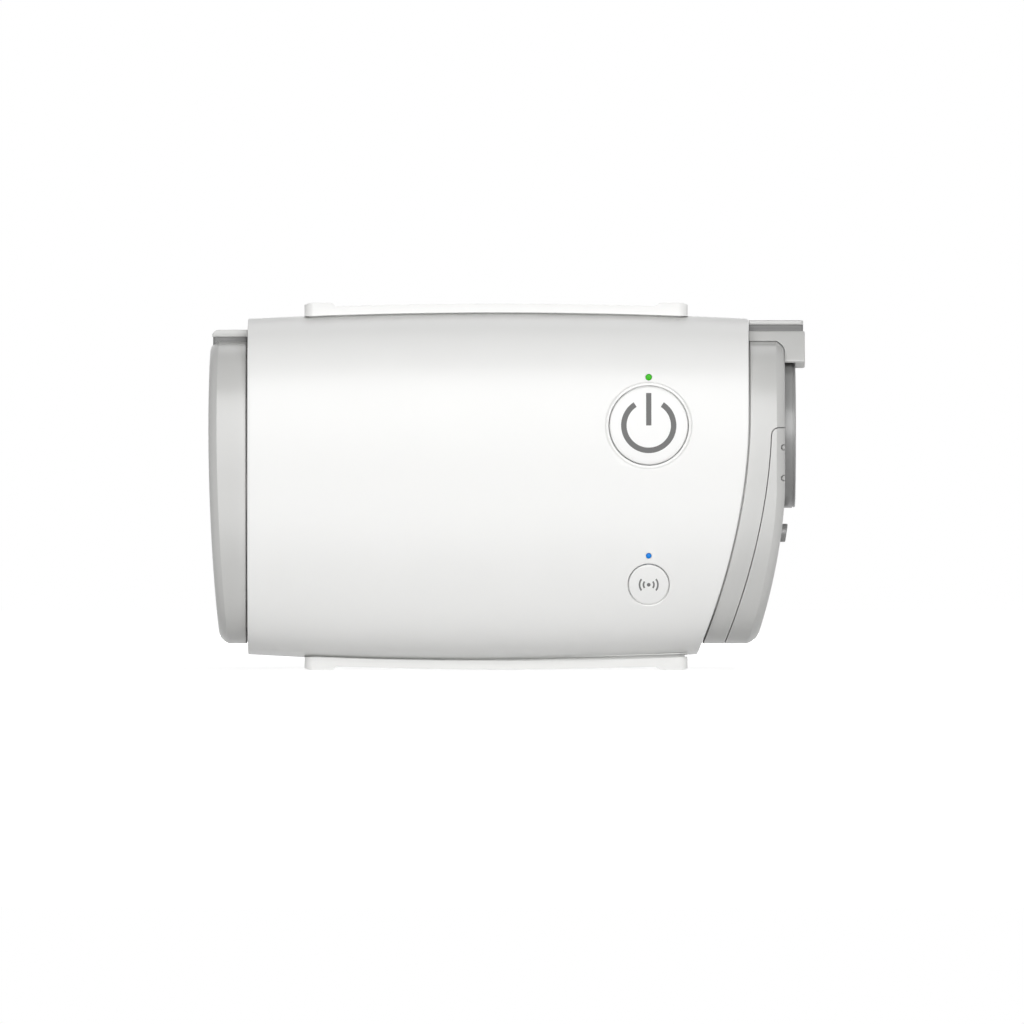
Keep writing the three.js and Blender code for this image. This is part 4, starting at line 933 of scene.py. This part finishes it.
side_view = [(ridge_left, ridge_bottom), (ridge_right, ridge_bottom), (ridge_right, ridge_top)]
side_view += [(ridge_left + inset, ridge_top - down) for down, inset in fillet(ridge_round, 8)]
ridge = slab([(x, -ridge_half, z) for x, z in side_view], (0, 2 * ridge_half, 0))
ridge = soften(ridge, ridge_edge, 4, sharper_than=60,
               only=lambda edge: min(vert.co.x for vert in edge.verts) < ridge_right - WELD)
piece("ridge_bar", ridge, "satin_grey", "cover_body", ["filter_cover"])
foot_plan = rounded(ridge_left + foot_inset / 2, ridge_right, foot_inset - ridge_half,
                    ridge_half - foot_inset, foot_corner)
foot_low, foot_high = cap_top - wall, ridge_bottom + foot_inset / 4
foot = slab([(x, y, foot_low) for x, y in foot_plan], (0, 0, foot_high - foot_low))
# the foot's dark grey finish is painted shade under the ridge bar
piece("ridge_foot", foot, "ring_grey", "cover_body", finish="painted_groove_shade")

# %% [markdown]
# Behind the cover lie the filter pad, a plain felt block with soft edges, and the frame in the mouth
# of the sleeve, whose barred window lets the filtered air through.

# %% Filter pad and intake frame
pad_edge = 0.5 * MM
pad = slab([(filter_low.x, y, z) for y, z in round_filter(0.0, filter_corner)],
           (filter_high.x - filter_low.x, 0, 0))
pad = soften(pad, pad_edge, 3, sharper_than=60)
piece("filter_pad", pad, "filter_felt", "cover_body", ["air_filter"])

intake_low, intake_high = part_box("intake_frame")
plate_left = sleeve_low.x + seam
window_half = 12.5 * MM
window_height = 23 * MM
bar_half = 0.8 * MM
bar_count = 3
window_corner = 2 * MM


def oval_slab(half_depth, half_height, centre_z, x0, x1, steps=160):
    ring = [oval(i / steps, half_depth, half_height, centre_z) for i in range(steps)]
    return slab([(x0, y, z) for y, z in ring], (x1 - x0, 0, 0))


def in_mouth(x, insets, x0, x1):
    """A slab of the sleeve's section at x, less some insets."""
    half_depth, half_height = half_depth_at(x), half_height_at(x)
    for inset in insets:
        half_depth, half_height = half_depth - inset, half_height - inset
    return oval_slab(half_depth, half_height, mid_z, x0, x1)


spigot_inset = wall + clip_thickness + 2 * fit
spigot = oval_slab(cap_depth - spigot_inset, cap_height - spigot_inset, cap_z, intake_low.x,
                   intake_high.x)
intake = cut(in_mouth(plate_left, (wall, fit), plate_left, intake_high.x), spigot, "UNION")
openings = []
pitch = 2 * window_height / (bar_count + 1)
for i in range(bar_count + 1):
    low = cap_z - window_height + pitch * i
    outline = rounded(-window_half, window_half, low + bar_half, low + pitch - bar_half, window_corner)
    openings.append(slab([(intake_low.x - wall, y, z) for y, z in outline], (4 * wall, 0, 0)))
intake = cut(intake, together(openings))
for side in (-1, 1):
    y, half = side * clip_middle, clip_thickness / 2 + fit
    intake = cut(intake, box_of(plate_left - wall, intake_high.x + wall, y - half, y + half,
                                cap_z - clip_half - fit, cap_z + clip_half + fit))
piece("intake_grid", intake, "satin_grey", "casing", ["intake_frame"])

# %% [markdown]
# The outlet end is one cup, parted by a seam that runs level under the middle, turns a small corner
# and then follows the swept edge of the sleeve. Above it is the bezel with the socket for the air
# tube, below it the end panel. Both are cut from the same cup with the same region, once each way.
# The panel also has the hole for the power inlet, and two round studs in their grooves at its edge.

# %% Outlet end
ring_low, ring_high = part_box("outlet_ring")
outlet = Vector((0, (ring_low.y + ring_high.y) / 2, (ring_low.z + ring_high.z) / 2))
ring_radius = (ring_high.z - ring_low.z) / 2
ring_bore = 13.2 * MM
socket_depth = 8 * MM
socket_wall = 1.6 * MM
nozzle_radius = 9.6 * MM
panel_band = 5.4 * MM
panel_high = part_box("outlet_panel")[1].z
panel_corner = 1.6 * MM
seam_gap = 0.2 * MM
spigot_step = 0.8 * MM
overlap = 5 * MM
socket_play = 0.1 * MM
stud_heights = (50.9 * MM, 43.9 * MM)
stud_radius = 0.45 * MM
stud_groove = 0.3 * MM
stud_depth = 4 * MM


def beside_edge(away):
    """A surface that follows the swept edge of the sleeve at a distance."""
    return lambda z: sleeve_edge(z) + away


def outlet_cup(grow=0.0, hollow=True):
    if not hollow:
        return cup(1, lambda z: bezel_end(z) + grow, [(0, beside_edge(-overlap))], grow, False)
    return cup(1, bezel_end, [
        (0, beside_edge(fit + soft_edge)), (soft_edge, beside_edge(fit)),
        (spigot_step, beside_edge(fit)), (spigot_step, beside_edge(-overlap)),
        (wall, beside_edge(-overlap)),
    ])


def across(outline):
    """A side view in X and Z, extruded across the whole machine."""
    reach = crown_depth + wall
    return slab([(x, -reach, z) for x, z in outline], (0, 2 * reach, 0))


def panel_region(grow):
    """What belongs to the end panel, seen from the front, as a thick plate across the machine."""
    floor_z = sleeve_low.z - wall
    high = panel_high + grow
    corner = panel_corner + grow
    points = [(sleeve_edge(z) + panel_band - grow, z) for z in evenly(floor_z, high - corner, 40)]
    left = points[-1][0]
    points += [(left + inset, high - down) for inset, down in fillet(corner, 8)[1:]]
    far = bezel_right + 4 * wall
    return across(points + [(far, high), (far, floor_z)])


socket_bore = ring_bore + socket_play
socket_outer = socket_bore + socket_wall
socket_floor = bezel_right - socket_depth


def rod(radius, x0, x1, columns=128):
    return turned([(0, x0), (radius, x0), (radius, x1), (0, x1)], outlet, columns)


bezel = cut(outlet_cup(), panel_region(seam_gap))
bezel = cut(bezel, rod(socket_outer, socket_floor - socket_wall, bezel_right - wall / 2), "UNION")
bezel = cut(bezel, rod(socket_bore, socket_floor, bezel_right + wall))
bezel = cut(bezel, rod(nozzle_radius + fit, socket_floor - 2 * socket_wall, bezel_right))
piece("outlet_end", bezel, "satin_grey", "casing", ["outlet_bezel"], crease=24)

inlet_low, inlet_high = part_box("power_inlet_surround")
inlet_z = (inlet_low.z + inlet_high.z) / 2
inlet_half = inlet_high.y
inlet_round = (inlet_high.z - inlet_low.z) / 2


def inlet_outline(grow):
    return rounded(-inlet_half - grow, inlet_half + grow, inlet_low.z - grow, inlet_high.z + grow,
                   inlet_round + grow)


panel = cut(outlet_cup(), panel_region(0.0), "INTERSECT")
panel = cut(panel, rod(socket_outer + fit, socket_floor - 2 * socket_wall, bezel_right + wall))
panel = cut(panel, on_end(inlet_outline(fit), lambda z: bezel_end(z) - 4 * wall, bezel_right + wall))
front_y, back_y = -cap_depth - wall, stud_depth - cap_depth
collar = [(stud_radius, front_y), (stud_radius + stud_groove, front_y),
          (stud_radius + stud_groove, back_y), (stud_radius, back_y), (stud_radius, front_y)]
for height in stud_heights:
    middle = (bezel_end(height) - stud_radius / 2, 0, height)
    panel = cut(panel, turned(collar, middle, columns=32, axis="Y"))
piece("end_panel", panel, "satin_grey", "casing", ["outlet_panel"], crease=24)

# %% [markdown]
# The sleeve is wider than the end it holds, so a plate closes the room between them. It is an oval
# as wide as the sleeve's mouth, cut to a thin slice that follows the swept edge, less the end itself.

# %% Mouth plate
plate_back, plate_front = 1.7 * MM, 0.45 * MM
edge_heights = evenly(sleeve_low.z - wall, sleeve_high.z + wall, 60)
slice_outline = [(sleeve_edge(z) - plate_back, z) for z in edge_heights]
slice_outline += [(sleeve_edge(z) - plate_front, z) for z in reversed(edge_heights)]
mouth = in_mouth(sleeve_high.x, (wall, seam_gap), 0, sleeve_high.x)
mouth = cut(cut(mouth, across(slice_outline), "INTERSECT"), outlet_cup(seam_gap / 2, hollow=False))
piece("mouth_plate", mouth, "satin_grey", "casing")

# %% [markdown]
# The round outlet is all revolved pieces: the dark ring round the socket, a plain band with a fine
# groove behind its lip, the soft seal on the socket's floor with a lip that the air tube presses on,
# and the duct, which turns from oblong at the blower to a round nozzle.

# %% Outlet ring, seal and duct
back, front = bezel_right - 0.05 * MM, ring_high.x
soft = 0.25 * MM
lip_start = front - 0.7 * MM
lip_radius = ring_radius - 0.15 * MM
ring_profile = [
    (ring_bore, back), (ring_radius - soft / 2, back), (ring_radius, back + soft / 2),
    (ring_radius, lip_start), (ring_radius - soft, lip_start + soft / 4),
    (ring_radius - soft, lip_start + soft), (lip_radius, lip_start + 1.2 * soft),
    (lip_radius, front - soft), (lip_radius - 0.3 * soft, front - 0.3 * soft),
    (lip_radius - soft, front), (ring_bore + 2 * soft, front),
    (ring_bore + 0.6 * soft, front - 0.6 * soft), (ring_bore, front - 2 * soft), (ring_bore, back),
]
piece("outlet_collar", turned(ring_profile, outlet, 160), "ring_grey", "casing", ["outlet_ring"])

seal_low, seal_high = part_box("outlet_seal")
seal_outer = (seal_high.z - seal_low.z) / 2
seal_inner = nozzle_radius + fit
seal_thick = seal_high.x - seal_low.x
seal_outside = [(0, 1), (0, 0.3), (0.2, 0.05), (0.45, 0), (0.8, 0.15), (1, 0.55)]
seal_inside = [(0.3, 0.6), (0, 0.75), (0, 1)]
seal_profile = [(seal_outer - seal_thick * inset, seal_high.x - seal_thick * back)
                for inset, back in seal_outside]
seal_profile += [(seal_inner + seal_thick * inset, seal_high.x - seal_thick * back)
                 for inset, back in seal_inside]
seal_profile = [seal_profile[-1]] + seal_profile
piece("outlet_gasket", turned(seal_profile, outlet, 128), "silicone", "casing", ["outlet_seal"])

duct_low, duct_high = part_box("outlet_duct")
duct_wall = 1.6 * MM
duct_blend = 14 * MM
way_depth = 6 * MM
way_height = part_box("duct_bellows")[1].z - outlet.z - duct_wall
oblong_power = 6
nozzle_lip = 0.5 * MM
nozzle_edge = [(1, 0), (0.3, 0.3), (0, 1)]
blend_rows = 12


def duct():
    blend = [(duct_low.x + duct_blend * share, share) for share in evenly(0, 1, blend_rows)]
    rows = [(x, share, duct_wall) for x, share in blend]
    rows += [(duct_high.x - nozzle_lip * back, 1, duct_wall - nozzle_lip * inset)
             for back, inset in nozzle_edge]
    rows += [(duct_high.x - nozzle_lip * back, 1, nozzle_lip * inset)
             for back, inset in reversed(nozzle_edge)]
    rows += [(x, share, 0) for x, share in reversed(blend)] + rows[:1]

    def place(turn, row):
        x, share, grow = rows[row]
        bore = nozzle_radius - duct_wall
        y, z = oval(turn, way_depth + (bore - way_depth) * share + grow,
                    way_height + (bore - way_height) * share + grow, outlet.z,
                    oblong_power + (2 - oblong_power) * share)
        return Vector((x, y, z))

    return sheet(96, len(rows) - 1, place)


piece("outlet_nozzle", duct(), "chassis_grey", "casing", ["outlet_duct"])

# %% [markdown]
# The hood hangs over the outlet end in three pieces. A block whose sides lean inwards sits on the
# bezel and leaves the ring free. On it lies a narrower neck with a fine bead, which draws the two
# lines near its top; the neck's dark grey is painted shade in that recess. A plate that follows
# the crown of the sleeve closes it.

# %% Hood
hood_low, hood_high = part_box("outlet_hood")
hood_left = sleeve_high.x + fit
hood_lean = 4.8 * MM
hood_undercut = (2.6 * MM, 1.6 * MM)
hood_edge = 0.3 * MM
hood_fit = 0.12 * MM
neck_low = 77.55 * MM
neck_high = 79.0 * MM
neck_inset = 0.5 * MM
bead = (78.25 * MM, 78.45 * MM)
bead_share = 0.55
plate_inset = 0.35 * MM
plate_corner = 0.7 * MM
plate_edge = 0.2 * MM
ring_top = outlet.z + ring_radius
over_ring_rest = 0.8 * MM


def hood_half_at(z):
    """Half the depth of the hood, whose sides lean inwards."""
    return hood_high.y - hood_lean * (z - hood_low.z) / (neck_high - hood_low.z)


def soft_hood(bm, width):
    """Rounds the hood's edges, except for those that lie against the sleeve."""
    return soften(bm, width, 3, sharper_than=50,
                  only=lambda edge: max(vert.co.x for vert in edge.verts) > hood_left + WELD)


def hood_body():
    low, right = hood_low.z, hood_high.x
    inwards, upwards = hood_undercut
    right_side = [(hood_high.y - inwards, low), (hood_half_at(low + upwards), low + upwards),
                  (hood_half_at(neck_low), neck_low)]
    outline = right_side + [(-y, z) for y, z in reversed(right_side)]
    body = soft_hood(slab([(hood_left, y, z) for y, z in outline], (right - hood_left, 0, 0)), hood_edge)
    body = cut(body, outlet_cup(hood_fit, hollow=False))
    over_ring = box_of(hood_left - wall, ring_high.x + hood_fit, -hood_high.y - wall, hood_high.y + wall,
                       low - wall, ring_top - over_ring_rest)
    return cut(cut(body, over_ring), rod(ring_radius + hood_fit, bezel_right - 2 * wall, right + wall))


def hood_plan(inset, low, high):
    half = hood_half_at(neck_high) - inset
    plan = rounded(hood_left - wall, hood_high.x - plate_inset, -half, half, plate_corner)
    block = slab([(x, y, low) for x, y in plan], (0, 0, high - low))
    behind = box_of(hood_left - 2 * wall, hood_left, -crown_depth, crown_depth, low - wall, high + wall)
    return cut(block, behind)


def hood_plate():
    crown = in_mouth(sleeve_high.x, (fit,), hood_left, hood_high.x + wall)
    plate = cut(hood_plan(0.0, neck_high, mid_z + crown_height), crown, "INTERSECT")
    return soft_hood(plate, plate_edge)


neck = hood_plan(neck_inset, neck_low - hood_edge / 2, neck_high + hood_edge / 4)
neck = cut(neck, hood_plan(neck_inset * bead_share, *bead), "UNION")
piece("outlet_cover_block", hood_body(), "satin_grey", "casing", ["outlet_hood"])
# the neck's dark grey finish is painted shade in the recess under the hood's plate
piece("outlet_cover_neck", neck, "ring_grey", "casing", finish="painted_groove_shade")
piece("outlet_cover_plate", hood_plate(), "satin_grey", "casing")

# %% [markdown]
# The power inlet is a small slotted boss. It stands out of the end panel by the same amount all the
# way down, so its outer end follows the slope of the panel.

# %% Power inlet
inlet_wall = 0.9 * MM
inlet_stand = 1.4 * MM
inlet_edge = 0.25 * MM
tongue_play = 0.1 * MM
end_slope = (bezel_end(inlet_high.z) - bezel_end(inlet_low.z)) / (inlet_high.z - inlet_low.z)
inlet_body = on_end(inlet_outline(0.0), lambda z: inlet_low.x, 1.0)
for vert in inlet_body.verts:
    if vert.co.x > inlet_low.x + WELD:
        vert.co.x = bezel_end(inlet_z) + inlet_stand + end_slope * (vert.co.z - inlet_z)
inlet_body = soften(inlet_body, inlet_edge, 3, sharper_than=55)
inlet_floor = inlet_low.x + inlet_wall
inlet_slot = on_end(inlet_outline(-inlet_wall), lambda z: inlet_floor, bezel_right + 4 * wall)
inlet_body = cut(inlet_body, inlet_slot)
tongue_low, tongue_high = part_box("power_inlet_tongue")
inlet_body = cut(inlet_body, box_of(tongue_low.x - wall, inlet_low.x + 2 * wall,
                                    tongue_low.y - tongue_play, tongue_high.y + tongue_play,
                                    tongue_low.z - tongue_play, tongue_high.z + tongue_play))
piece("power_inlet_boss", inlet_body, "ring_grey", "casing", ["power_inlet_surround"])

# %% [markdown]
# Floor, backdrop and light. The picture has a pure white ground, so the floor and the world are
# white for the camera, while the light itself stays plain and soft: one large panel in front of the
# machine, a weaker one above, a panel behind and one at each side that the pieces don't mirror, and
# a low even light from all round.

# %% Studio
WHITE = (1, 1, 1, 1)
room_strength = 0.08
floor_side = 6.0
floor_look = {"Base Color": (0.7, 0.7, 0.7, 1), "Roughness": 0.9, "Specular IOR Level": 0.0}
floor_fade = {"From Min": 0.07, "From Max": 0.3, "To Min": 0.68, "To Max": 1.0}


def seen_white(tree):
    """One for the rays that look at the background, and none for those that carry light."""
    path = node(tree, "LightPath")
    total = path.outputs["Is Camera Ray"]
    for kind in ("Is Glossy Ray", "Is Transmission Ray"):
        either = node(tree, "Math", links={0: total, 1: path.outputs[kind]}, operation="MAXIMUM")
        total = either.outputs["Value"]
    return total


world = bpy.data.worlds.new("room")
scene.world = world
world.use_nodes = True
room = world.node_tree
room_light = feed(room, room.nodes["Background"], {"Color": WHITE, "Strength": room_strength})
room_white = node(room, "Background", {"Color": WHITE})
room_mix = node(room, "MixShader", links={"Fac": seen_white(room), 1: room_light.outputs["Background"],
                                          2: room_white.outputs["Background"]})
feed(room, room.nodes["World Output"], links={"Surface": room_mix.outputs["Shader"]})

floor_mesh = bmesh.new()
bmesh.ops.create_grid(floor_mesh, x_segments=1, y_segments=1, size=floor_side / 2)
floor = linked("floor", mesh_of("floor", floor_mesh))
floor_paint, paint, matt, places = tree_of("floor_paint")
feed(paint, matt, floor_look)
distance = node(paint, "VectorMath", links={0: places}, operation="LENGTH").outputs["Value"]
fade = node(paint, "MapRange", floor_fade, {"Value": distance}, interpolation_type="SMOOTHSTEP")
shown = {0: fade.outputs["Result"], 1: seen_white(paint)}
share = node(paint, "Math", links=shown, operation="MULTIPLY")
glow = node(paint, "Emission", links={"Strength": share.outputs["Value"]})
both = node(paint, "AddShader", links={0: matt.outputs["BSDF"], 1: glow.outputs["Emission"]})
feed(paint, paint.nodes["Material Output"], links={"Surface": both.outputs["Shader"]})
floor.data.materials.append(floor_paint)


def panel_light(name, place, size, watts, mirrored=True):
    data = bpy.data.lights.new(name, "AREA")
    data.shape = "RECTANGLE"
    data.size, data.size_y = size
    data.energy = watts
    lamp = linked(name, data)
    lamp.location = place
    lamp.visible_camera = False
    lamp.visible_glossy = mirrored
    aim = Vector((0, 0, mid_z)) - Vector(place)
    lamp.rotation_euler = aim.to_track_quat("-Z", "Y").to_euler()


panel_light("front_panel", (0.1, -1.45, 0.48), (1.3, 1.0), 19)
panel_light("top_panel", (0.0, 0.8, 1.2), (1.2, 0.8), 2.5)
panel_light("back_panel", (-0.1, 1.45, 0.2), (1.3, 0.5), 14, mirrored=False)
for side in (-1, 1):
    panel_light("side_panel", (1.45 * side, 0.25, 0.2), (0.8, 0.5), 2.4, mirrored=False)
print("studio ready")
